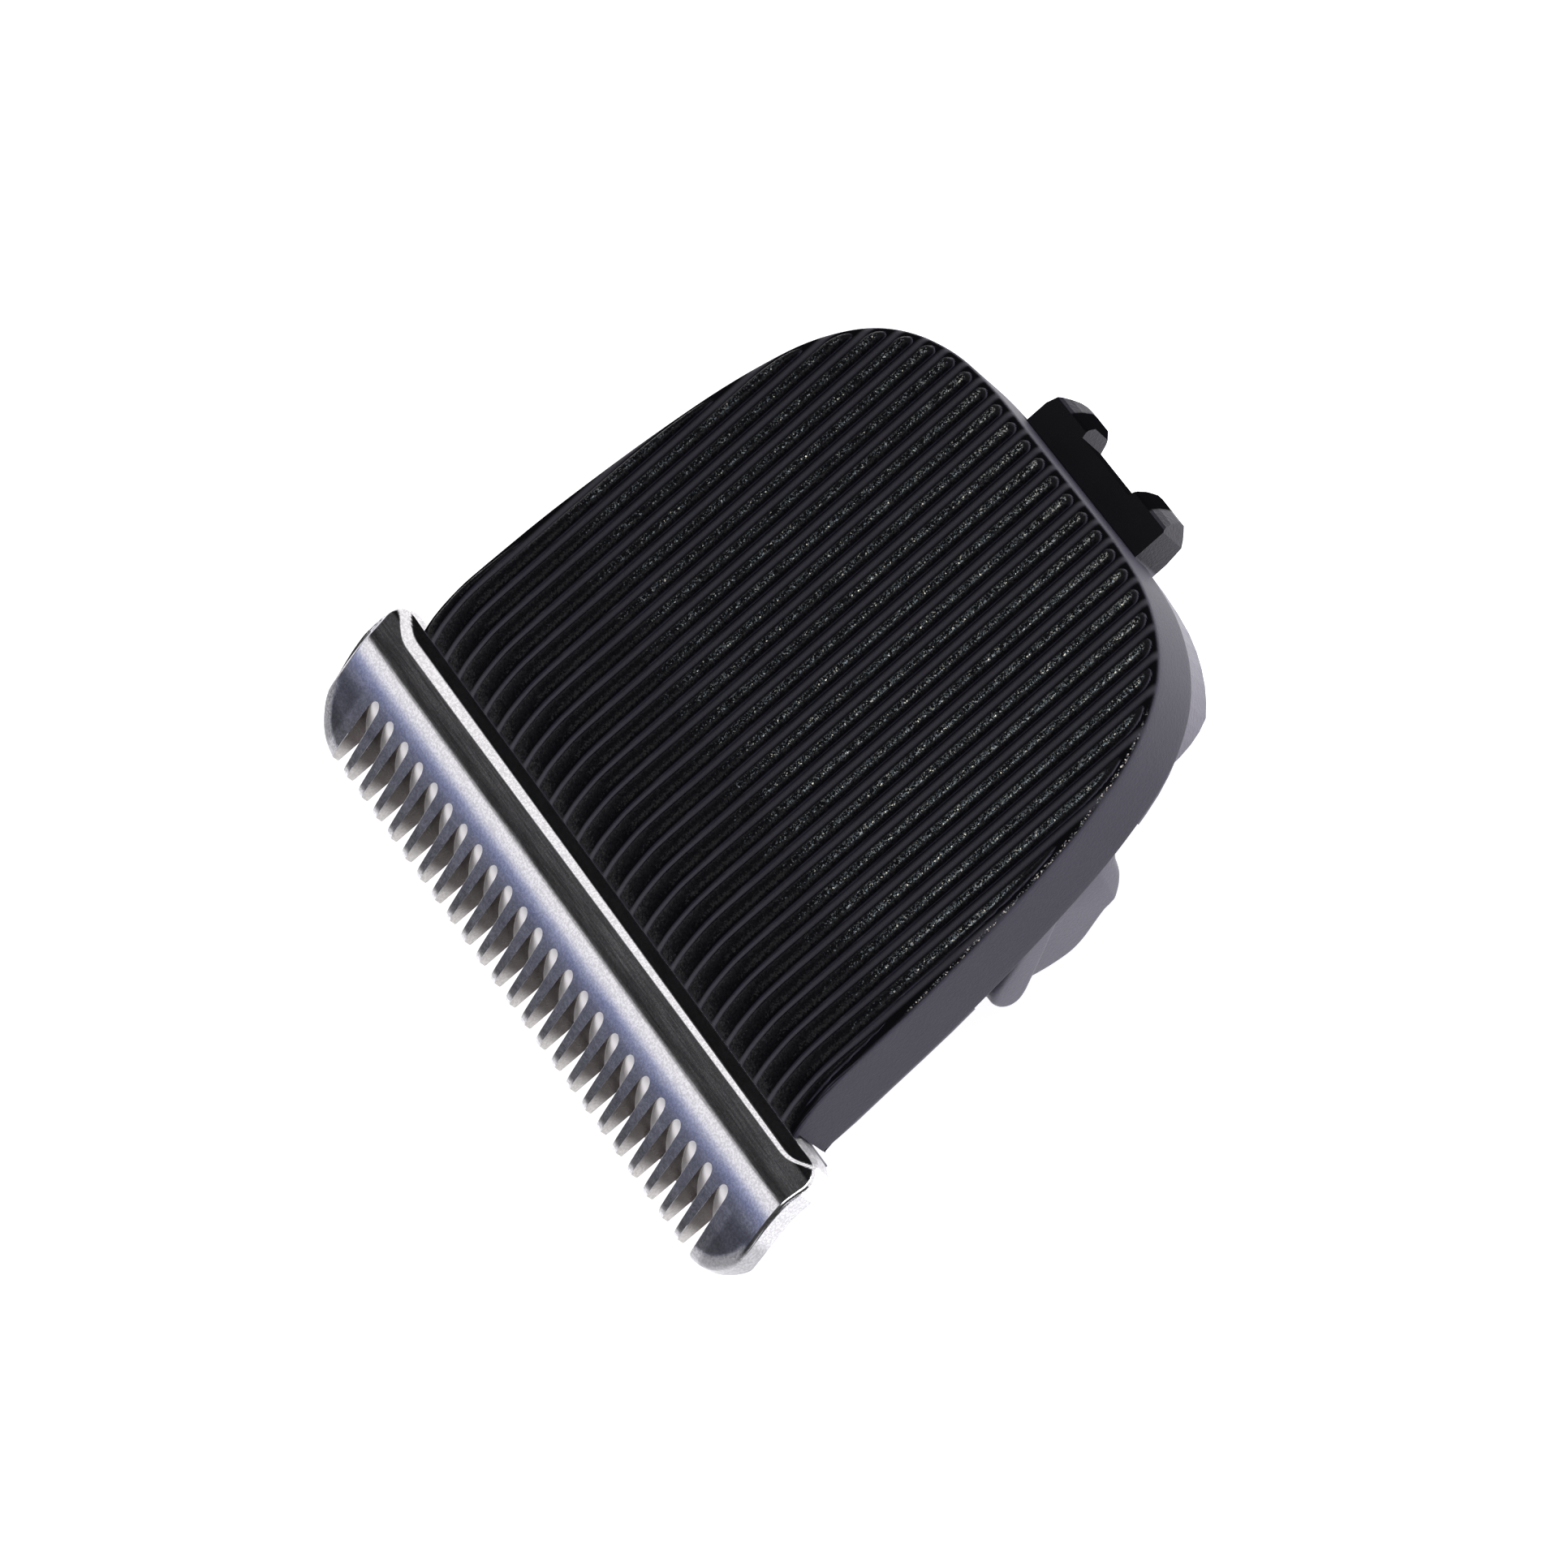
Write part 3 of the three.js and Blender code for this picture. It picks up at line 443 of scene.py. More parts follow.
def cover_material():
    """Ribs carry a dark semi-gloss skin with fine metallic grain; groove floors and walls are matte and grained, with
    painted shade at the feet of the ribs and a painted highlight along the crest of the side wall.
    """
    m, k, b = material("cover_plastic", (0.03, 0.029, 0.036))
    p = k.place()
    xyz = k.add("ShaderNodeSeparateXYZ", {0: p})
    x, y, z = xyz.outputs
    height = k.add("ShaderNodeAttribute", attribute_name="rib")
    h = height.outputs["Fac"]
    rib = k.step(0.12, 0.42, h)
    geo = k.add("ShaderNodeNewGeometry")
    # wrinkled grain on the matte areas
    grain, pebble, fine = grain_bump(k, p, 2.6, None, 0.15)
    streak = k.noise(k.stretch(p, (1.0, 0.22, 1.0)), 0.045, 2.0, 0.65)
    groove_n = k.bump(streak, 0.5, 0.012, grain)
    # sparkle grain on the ribs
    c1 = k.cells(p, 0.075)
    tilt = k.vmath("SCALE", k.vmath("SUBTRACT", c1.outputs["Color"], (0.5, 0.5, 0.5)), scale=0.30)
    fine_n = k.bump(k.noise(p, 0.05, 2.0, 0.6), 0.35, 0.008, geo.outputs["Normal"])
    rib_n = k.vmath("NORMALIZE", k.vmath("ADD", fine_n, tilt))
    mixn = k.add("ShaderNodeMix", data_type="VECTOR")
    k.put(mixn.inputs[0], rib)
    k.put(mixn.inputs[4], groove_n)
    k.put(mixn.inputs[5], rib_n)
    k.put(b.inputs["Normal"], k.vmath("NORMALIZE", mixn.outputs[1]))
    pick = k.cells(p, 0.062)
    rnd = k.add("ShaderNodeSeparateColor", {0: pick.outputs["Color"]})
    patch = k.noise(p, 1.1, 3.0, 0.6)
    crest = k.step(0.86, 0.985, h)
    # the grain is coarser and denser towards the rear and one side
    place = k.math("ADD", k.math("MULTIPLY", x, 0.009), k.math("MULTIPLY", y, 0.003))
    place = k.math("SUBTRACT", place, k.math("MULTIPLY", k.step(-7.0, -15.0, y), 0.55))
    chance = k.math("ADD", k.math("ADD", rnd.outputs[0], place), k.math("MULTIPLY", k.math("SUBTRACT", patch, 0.5), 0.45))
    flake = k.math("MULTIPLY", k.step(0.60, 0.80, chance), crest)
    spark = k.math("MULTIPLY", k.step(0.975, 0.985, k.math("ADD", rnd.outputs[0], k.math("MULTIPLY", place, 0.12))), crest)
    tint = k.mixc(rnd.outputs[1], (0.075, 0.098, 0.118), (0.170, 0.180, 0.180))
    tint = k.mixc(k.step(6.0, 13.0, y), tint, k.mixc(rnd.outputs[2], tint, (0.46, 0.46, 0.42)))
    tint = k.mixc(spark, tint, (0.62, 0.60, 0.50))
    up = k.step(0.35, 0.75, k.add("ShaderNodeSeparateXYZ", {0: geo.outputs["True Normal"]}).outputs[2])
    tone = k.noise(p, 1.6, 3.0)
    wall = k.mixc(tone, (0.026, 0.0240, 0.042), (0.034, 0.0315, 0.053))
    across = k.math("ABSOLUTE", k.math("SUBTRACT", k.math("FRACT", k.math("DIVIDE", k.math("ADD", x, PITCH * 20), PITCH)), 0.5))
    clear_of_foot_shade = k.step(0.30, 0.485, across)           # 1 mid-groove, 0 at the foot of a rib, where shade is painted
    floor_tone = k.mixc(tone, (0.026, 0.0245, 0.033), (0.034, 0.0325, 0.043))
    floor_tone = k.mixc(k.step(-11.0, -17.5, y), floor_tone, (0.060, 0.058, 0.074))
    # groove floor painted near-black at the feet of the ribs: painted shade in the creases
    floor_tone = k.mixc(clear_of_foot_shade, (0.004, 0.004, 0.005), floor_tone)
    matte = k.mixc(up, wall, floor_tone)
    skin = k.mixc(patch, (0.0016, 0.0016, 0.0026), (0.0032, 0.0032, 0.0048))
    base = k.mixc(rib, matte, skin)
    # painted highlight along the crest between the face and the side wall: bright metallic specks stand in for the
    # lamp's reflection on the rounded rim
    painted_crest_highlight = k.add("ShaderNodeAttribute", attribute_name="painted_glint").outputs["Fac"]
    painted_crest_highlight = k.math("MULTIPLY", k.step(0.25, 0.7, painted_crest_highlight), k.step(0.58, 0.80, k.math("ADD", rnd.outputs[1], k.math("MULTIPLY", k.math("SUBTRACT", patch, 0.5), 0.8))))
    base = k.mixc(flake, base, tint)
    k.put(b.inputs["Base Color"], k.mixc(painted_crest_highlight, base, k.mixc(k.step(0.55, 0.95, rnd.outputs[2]), (0.10, 0.11, 0.12), (0.85, 0.78, 0.70))))
    k.put(b.inputs["Metallic"], k.math("MAXIMUM", k.math("MULTIPLY", flake, 0.95), painted_crest_highlight))
    # specular is lowered at the rib feet along with the painted shade
    flat_spec = k.mix(up, 0.36, k.math("MULTIPLY", clear_of_foot_shade, 0.24))
    k.put(b.inputs["Specular IOR Level"], k.mix(rib, flat_spec, 0.075))
    rib_rough = k.math("ADD", 0.26, k.math("MULTIPLY", rnd.outputs[2], 0.12))
    k.put(b.inputs["Roughness"], k.mix(rib, k.math("ADD", 0.52, k.math("MULTIPLY", fine, 0.12)), rib_rough))
    return m


def steel_material(name, colour, rough, brush=(1.0, 1.0, 1.0), worn=0.0, edge=0.035, amount=1.0):
    m, k, b = material(name, colour, 1.0)
    p = k.place()
    normal = None
    long_scratch = k.noise(k.stretch(p, brush), 0.05, 3.0, 0.65)
    speck = k.noise(p, 0.09, 3.0, 0.65)
    h = k.math("ADD", k.math("MULTIPLY", long_scratch, 0.8), k.math("MULTIPLY", speck, 0.35))
    n = k.bump(h, 0.16 * amount, 0.006, normal)
    smear = k.noise(k.stretch(p, tuple(v * 0.5 for v in brush)), 0.5, 3.0, 0.6)
    k.put(b.inputs["Normal"], n)
    k.put(b.inputs["Roughness"], k.math("ADD", k.math("MULTIPLY", smear, 0.16), rough - 0.08))
    k.put(b.inputs["Base Color"], k.mixc(smear, tuple(c * 0.88 for c in colour), tuple(min(1, c * 1.08) for c in colour)))
    return m


def comb_material():
    """Polished steel: hairline scratches along the bands, rough stamped faces at the back edge and round the ends.
    Shade is painted on the slot walls and the land, highlights on the ramps, the ridge and beside the step.
    """
    m, k, b = material("comb_steel", (0.62, 0.62, 0.65), 1.0)
    p = k.place()
    xyz = k.add("ShaderNodeSeparateXYZ", {0: p})
    x, y, z = xyz.outputs
    rim = k.add("ShaderNodeAttribute", attribute_name="rim").outputs["Fac"]      # mm from the stamped outline
    teeth = k.step(-21.9, -22.5, y)
    normal = k.edge(0.03)
    across = k.noise(k.stretch(p, (0.10, 1.0, 1.0)), 0.06, 3.0, 0.6)
    along = k.noise(k.stretch(p, (1.0, 0.12, 0.3)), 0.05, 3.0, 0.6)
    scratch = k.mix(teeth, across, along)
    speck = k.noise(p, 0.07, 4.0, 0.7)
    pits = k.step(0.66, 0.74, k.noise(p, 0.11, 3.0, 0.6))
    rough_zone = k.math("MAXIMUM", k.step(-18.52, -18.47, y),
                        k.math("MULTIPLY", k.step(0.75, 0.25, rim), k.step(-23.0, -25.0, y)), clamp=True)
    land = k.step(-19.25, -19.0, y)
    h = k.math("ADD", k.math("MULTIPLY", scratch, 0.5), k.math("MULTIPLY", pits, -0.35))
    n1 = k.bump(h, 0.14, 0.006, normal)
    n2 = k.bump(speck, k.math("ADD", k.math("MULTIPLY", rough_zone, 0.9), k.math("MULTIPLY", land, 0.12)), 0.05, n1)
    k.put(b.inputs["Normal"], n2)
    smear = k.noise(k.stretch(p, (0.25, 1.0, 1.0)), 0.55, 4.0, 0.6)
    r = k.math("ADD", k.math("MULTIPLY", smear, 0.12), 0.11)
    r = k.math("ADD", r, k.math("MULTIPLY", rough_zone, 0.12))
    r = k.math("ADD", r, k.math("MULTIPLY", land, 0.05))
    k.put(b.inputs["Roughness"], r)
    geo = k.add("ShaderNodeNewGeometry")
    nx, ny, nz = k.add("ShaderNodeSeparateXYZ", {0: geo.outputs["True Normal"]}).outputs
    inside = k.math("MULTIPLY", k.math("MULTIPLY", k.step(0.55, 0.8, k.math("ABSOLUTE", nx)), k.step(-22.3, -22.6, y)),
                    k.step(17.6, 17.2, k.math("ABSOLUTE", x)))
    tone = k.mixc(smear, (0.66, 0.66, 0.69), (0.80, 0.79, 0.81))
    # sloped faces at the step of the ridge: painted highlight, brighter steel colour
    painted_ridge_highlight = k.math("MULTIPLY", k.step(-19.95, -19.75, y), k.step(0.995, 0.97, nz))
    tone = k.mixc(painted_ridge_highlight, tone, (0.93, 0.92, 0.94))
    lobes = k.math("MULTIPLY", k.step(17.7, 18.1, k.math("ABSOLUTE", x)), k.step(-22.6, -23.4, y))
    tone = k.mixc(lobes, tone, (0.44, 0.44, 0.46))
    # side walls of the slots: painted shade, dark brown towards the roots, lighter towards the tips
    painted_slot_wall_shade = k.mixc(k.step(-24.9, -26.1, y), (0.060, 0.048, 0.044), (0.58, 0.56, 0.55))
    tone = k.mixc(inside, tone, painted_slot_wall_shade)
    # floors of the ramped slots: painted highlight, near-white colour with a rougher finish so they read bright
    off = k.math("MULTIPLY", k.math("ABSOLUTE", k.math("SUBTRACT", k.math("FRACT", k.math("DIVIDE", k.math("ADD", x, 1.4541 * 20), 1.4541)), 0.5)), 1.4541)
    half_w = k.math("ADD", 0.365, k.math("MULTIPLY", k.math("MAXIMUM", k.math("SUBTRACT", -23.1, y), 0.0), 0.051))
    q1 = k.math("POWER", k.math("DIVIDE", off, half_w), 2.0)
    q2 = k.math("POWER", k.math("DIVIDE", k.math("MAXIMUM", k.math("ADD", y, 23.1), 0.0), 0.6), 2.0)
    painted_ramp_highlight = k.math("MULTIPLY", k.step(1.0, 0.93, k.math("ADD", q1, q2)), k.step(17.5, 17.4, k.math("ABSOLUTE", x)))
    painted_ramp_highlight = k.math("MULTIPLY", painted_ramp_highlight, k.math("MULTIPLY", k.step(-22.40, -22.5, y), k.step(-24.9, -24.6, y)))
    painted_ramp_highlight = k.math("MULTIPLY", painted_ramp_highlight, k.step(0.6, 0.5, k.math("ABSOLUTE", nx)))
    tone = k.mixc(painted_ramp_highlight, tone, (0.93, 0.91, 0.92))
    # flat land just in front of the cover's edge: painted shade, dark
    painted_land_shade = k.math("MULTIPLY", k.step(-19.28, -19.10, y), k.step(0.95, 0.998, nz))
    tone = k.mixc(painted_land_shade, tone, (0.07, 0.07, 0.075))
    # hairlines on the flat band; the band is painted lighter beside the step and darker further out, a painted
    # reflection of bright and dark surroundings
    hair = k.noise(k.stretch(p, (0.035, 1.0, 1.0)), 0.10, 3.0, 0.7)
    flat_band = k.math("MULTIPLY", k.math("MULTIPLY", k.step(-21.2, -20.9, y), k.step(-19.6, -19.8, y)), k.step(0.97, 0.995, nz))
    # worn: painted reflection gradient across the band, times the hairline pattern
    worn = k.mix(k.step(-20.9, -19.9, y), 0.42, 1.05)
    worn = k.math("MULTIPLY", worn, k.mix(k.step(0.35, 0.65, hair), 0.7, 1.25))
    band_reflection_and_hairlines = k.add("ShaderNodeVectorMath", {0: tone}, operation="SCALE")
    k.put(band_reflection_and_hairlines.inputs["Scale"], worn)
    tone = k.mixc(flat_band, tone, band_reflection_and_hairlines.outputs[0])
    mottle = k.add("ShaderNodeVectorMath", {0: tone}, operation="SCALE")
    k.put(mottle.inputs["Scale"], k.mix(k.step(0.40, 0.62, k.noise(p, 0.13, 3.0, 0.7)), 0.82, 1.10))
    k.put(b.inputs["Base Color"], k.mixc(painted_ramp_highlight, mottle.outputs[0], tone))
    k.put(b.inputs["Roughness"], k.mix(painted_ramp_highlight, r, 0.42))
    return m


MAT = {
    "cover_plastic": cover_material(),
    "frame_plastic": frame_material(),
    "comb_steel": comb_material(),
    "cutter_steel": steel_material("cutter_steel", (0.40, 0.385, 0.375), 0.28, (1.0, 0.12, 1.0)),
    "holder_plastic": plastic_material("holder_plastic", (0.035, 0.035, 0.04), 0.48, 0.8, 0.14),
    "slide_plastic": plastic_material("slide_plastic", (0.66, 0.64, 0.58), 0.45, 0.5, 0.14),
    "spring_steel": steel_material("spring_steel", (0.52, 0.52, 0.54), 0.26, (1.0, 0.1, 1.0)),
    "fastener_steel": steel_material("fastener_steel", (0.46, 0.46, 0.48), 0.30, (1.0, 1.0, 1.0), amount=1.4),
    "seal_rubber": plastic_material("seal_rubber", (0.018, 0.018, 0.018), 0.72, 0.7, 0.10, 0.35, 1.45),
}


def dress(ob, *keys):
    ob.data.materials.clear()
    for key in keys:
        ob.data.materials.append(MAT[key])


# ---------------------------------------------------------------- outline of the cover
HALF = catmull([(x, y) for y, x in OUTLINE])                # (x, y), rear to front
HALF = HALF[HALF[:, 1] > FRONT_Y]
HALF = np.vstack([HALF, [HALF[-1, 0] + 0.01, FRONT_Y]])
X_END = HALF[:, 0].max()
RIM_LINE = np.vstack([[(-p[0], p[1]) for p in HALF[::-1]], HALF])   # left front -> rear -> right front
_mono = np.maximum.accumulate(HALF[:, 0] + np.arange(len(HALF)) * 1e-7)


def rear_y(x):
    return np.interp(np.abs(x), _mono, HALF[:, 1], left=HALF[0, 1])


def offset_outline(inset, front, per=1):
    t = np.gradient(HALF, axis=0)
    t /= np.linalg.norm(t, axis=1)[:, None] + 1e-12
    q = HALF + np.stack([t[:, 1], -t[:, 0]], -1) * inset
    q = q[(q[:, 1] > front + 0.02)][::4]
    q = np.vstack([q, [q[-1, 0] + 0.005, front]])
    left = q[::-1].copy()
    left[:, 0] *= -1
    return [tuple(p) for p in np.vstack([q[::-1], left[::-1]])]


# ---------------------------------------------------------------- ribbed cover
def build_cover():
    offs = [-0.25, -0.2, -0.15, -0.1, -0.05, 0.0, 0.05, 0.1, 0.15, 0.2, 0.25]
    th = np.radians([10, 20, 31, 43, 55, 66, 78, 90])
    t = 1 - np.cos(th)
    half = PITCH / 2
    dome = [GROOVE + (half - GROOVE) * v for v in t]
    offs = sorted(set([round(v, 6) for v in offs + dome + [-v for v in dome[:-1]]]))
    xs = []
    for i in range(-RIBS // 2 - 1, RIBS // 2 + 2):
        xs += [i * PITCH + o for o in offs]
    xs = np.unique(np.round(np.array(xs), 5))
    xs = xs[np.abs(xs) < X_END - 0.02]
    xs = np.concatenate([[-X_END], xs, [X_END]])
    n = len(xs)
    yr = rear_y(xs)
    yr[0] = yr[-1] = FRONT_Y + 0.03
    dx = 0.05
    slope = (rear_y(np.abs(xs) + dx) - rear_y(np.abs(xs) - dx)) / (2 * dx)
    slope = np.where(np.abs(xs) < 3.0, 0, slope)
    sf = np.sqrt(1 + np.minimum(slope ** 2, 150.0))
    front = np.array([0, .015, .04, .08, .13, .19, .26, .34, .43, .53, .65, .78, .92, 1.08, 1.26, 1.46, 1.68, 1.92, 2.2,
                      2.5, 2.85, 3.25, 3.7, 4.2])
    rim = np.array([0, .012, .03, .055, .09, .13, .175, .22, .27, .32, .37, .42, .47, .53, .60, .68, .78, .92, 1.12, 1.4])
    mid = 64
    length = yr - FRONT_Y
    rim_len = np.minimum(1.4 * sf, 0.42 * length)
    front_len = np.minimum(4.2, 0.45 * (length - rim_len))
    rows = []
    for f in front / front[-1]:
        rows.append(FRONT_Y + front_len * f)
    for i in range(1, mid):
        rows.append(FRONT_Y + front_len + (length - rim_len - front_len) * i / mid)
    for f in rim[::-1] / rim[-1]:
        rows.append(yr - rim_len * f)
    Y = np.array(rows)
    m = len(Y)
    X = np.tile(xs, (m, 1))
    d = polyline_distance(X.ravel(), Y.ravel(), RIM_LINE[::3]).reshape(X.shape)
    d[-1, :] = 0
    floor = hermite(FLOOR, Y)
    s = np.abs(((X / PITCH + 0.5) % 1) - 0.5) * PITCH
    g = 0.10 + (GROOVE - 0.10) * smooth(-18.0, -5.0, Y)
    tt = np.clip((s - g) / (half - g), 0, 1)
    start = 0.30
    q = np.clip((start + 0.39 - d) / 0.39, 0, 1.2)
    h = np.sqrt(np.clip(1 - (1 - tt) ** 2 - q ** 2, 0, 1)) * (s > g)
    fade = np.clip((Y + 19.2) / 3.6, 0.3, 1)
    nose = np.clip((Y - FRONT_Y - 0.10) / 0.75, 0, 1)
    h = h * np.sqrt(np.clip(1 - (1 - nose) ** 2, 0, 1))
    r = 0.38
    drop = r - np.sqrt(np.clip(r * r - np.clip(r - d, 0, r) ** 2, 0, None))
    lip = 0.16
    df = Y - FRONT_Y
    drop_f = lip - np.sqrt(np.clip(lip * lip - np.clip(lip - df, 0, lip) ** 2, 0, None))
    Z = floor + h * RIB_H * fade - np.maximum(drop, drop_f)
    top = np.stack([X, Y, Z], -1)
    flat = top.reshape(-1, 3)
    # outward directions of the rim
    nx = np.zeros(m * n)
    ny = np.zeros(m * n)
    idx = np.arange(m * n).reshape(m, n)
    nrm = np.hypot(slope, 1)
    nx[idx[-1, :]] = -slope / nrm * np.sign(xs)
    ny[idx[-1, :]] = 1 / nrm
    ny[idx[0, :]] = -1
    nx[idx[0, :]] = 0
    for side, col in ((-1, 0), (1, -1)):
        nx[idx[:, col]] = side
        ny[idx[:, col]] = 0
    attr = [h.ravel()]
    # where the painted highlight along the crest of the rim goes
    edge = np.exp(-((d - 0.14) / 0.06) ** 2) * smooth(6.0, 11.0, X) * smooth(-12.5, -8.0, Y) * (1 - smooth(5.0, 9.0, Y))
    painted_glint = [edge.ravel()]

    def ring_rows(ring):
        top_z = flat[ring, 2]
        base = flat[ring].copy()
        out = np.stack([nx[ring], ny[ring]], -1)
        rows = []
        br = 0.28
        steps = list(np.linspace(0, 1, 9)[1:])
        for f in steps:
            row = base.copy()
            row[:, 2] = top_z + (BOTTOM + br - top_z) * f
            rows.append(row)
        for a in (18, 36, 54, 72, 90):
            row = base.copy()
            row[:, 2] = BOTTOM + br * (1 - math.sin(math.radians(a)))
            inset = br * (1 - math.cos(math.radians(a)))
            row[:, :2] -= out * inset
            rows.append(row)
        for _ in rows:
            attr.append(np.zeros(len(ring)))
            painted_glint.append(np.zeros(len(ring)))
        return rows

    verts, faces, ring, last = grid_solid(top, ring_rows)
    faces.append(last[::-1])
    ob = mesh_object("cover_shell", verts, faces, None, {"rib": np.concatenate(attr), "painted_glint": np.concatenate(painted_glint)})
    clean(ob, 0.001)
    cuts = [prism(offset_outline(1.1, FRONT_Y - 0.6), BOTTOM - 1, -1.3)]
    boolean(ob, cuts, "DIFFERENCE")
    boolean(ob, [cube(-25, 25, -25, -18.2, BOTTOM - 1, -1.35)], "DIFFERENCE")
    boolean(ob, [cube(-5.15, 5.15, 8, 12, BOTTOM - 1, -2.83)], "DIFFERENCE")
    boss = rod(11.9, 2.8, -4.4, -1.1, 1.5)
    boolean(ob, [boss, mirrored(boss)], "UNION")
    hole = rod(11.9, 2.8, -6, -1.75, 0.8)
    boolean(ob, [hole, mirrored(hole)], "DIFFERENCE")
    shade(ob, 38)
    dress(ob, "cover_plastic")
    return ob


cover = build_cover()
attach(cover, "head")
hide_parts("front_cover")


# ---------------------------------------------------------------- comb
COMB_RIGHT = [(18.8, -18.3)]
for i in range(1, 11):
    a = math.pi / 2 * (1 - i / 10)
    COMB_RIGHT.append((18.8 + 1.2 * math.cos(a), -19.5 + 1.2 * math.sin(a)))
COMB_RIGHT += [(19.93, -20.0), (19.86, -20.6), (19.85, -22.0), (19.85, -23.6)]
_lobe = catmull([(19.85, -22.8), (19.85, -24.0), (19.72, -24.55), (19.33, -25.15), (18.75, -25.72), (18.1, -26.08), (17.5, -26.25),
                 (17.15, -26.3)], 8)
COMB_RIGHT += [tuple(p) for p in _lobe if p[1] < -23.7]
COMB_RIGHT = np.array(COMB_RIGHT)
SLOPE = [(-26.3, 80), (-26.25, 62), (-26.12, 40), (-25.92, 28), (-25.6, 24.5), (-24.4, 23.4), (-22.9, 22.6), (-22.45, 21.5),
         (-22.1, 20.0), (-21.7, 18.0), (-21.3, 15.0), (-21.0, 11.5), (-20.8, 6.0), (-20.55, 2.0), (-19.6, 0.6), (-19.35, 0.0)]
_sy = np.linspace(-26.3, -19.35, 2200)
_sz = np.tan(np.radians(hermite(SLOPE, _sy)))
_sz = np.minimum(_sz, 3.2)
_z = np.concatenate([[0], np.cumsum((_sz[1:] + _sz[:-1]) / 2 * np.diff(_sy))])
COMB_Z = _z - _z[-1] - 1.42


def comb_top(x, y):
    """Height of the upper face: land, ridge, flat band, then the fall to the teeth."""
    ax = np.abs(x)
    ridge = -19.61 + 0.0095 * x + 0.86 * smooth(17.4, 19.95, ax) ** 1.4      # front edge of the step
    wide = 0.48 - 0.0135 * x
    z = np.interp(np.minimum(y, -19.35), _sy, COMB_Z)
    z = np.where(y > -19.35, -1.42, z)
    z = z - 0.34 * wide * smooth(0.0, 1.0, (y - ridge) / wide)
    z = z - np.clip(y + 18.5, 0, 1) * 1.15
    return z


def comb_bottom(y):
    y = np.asarray(y, float)
    return -2.75 - (np.clip(y, -24.4, -20.9) + 20.9) * -0.41 - np.maximum(0, -24.4 - y) * 0.06


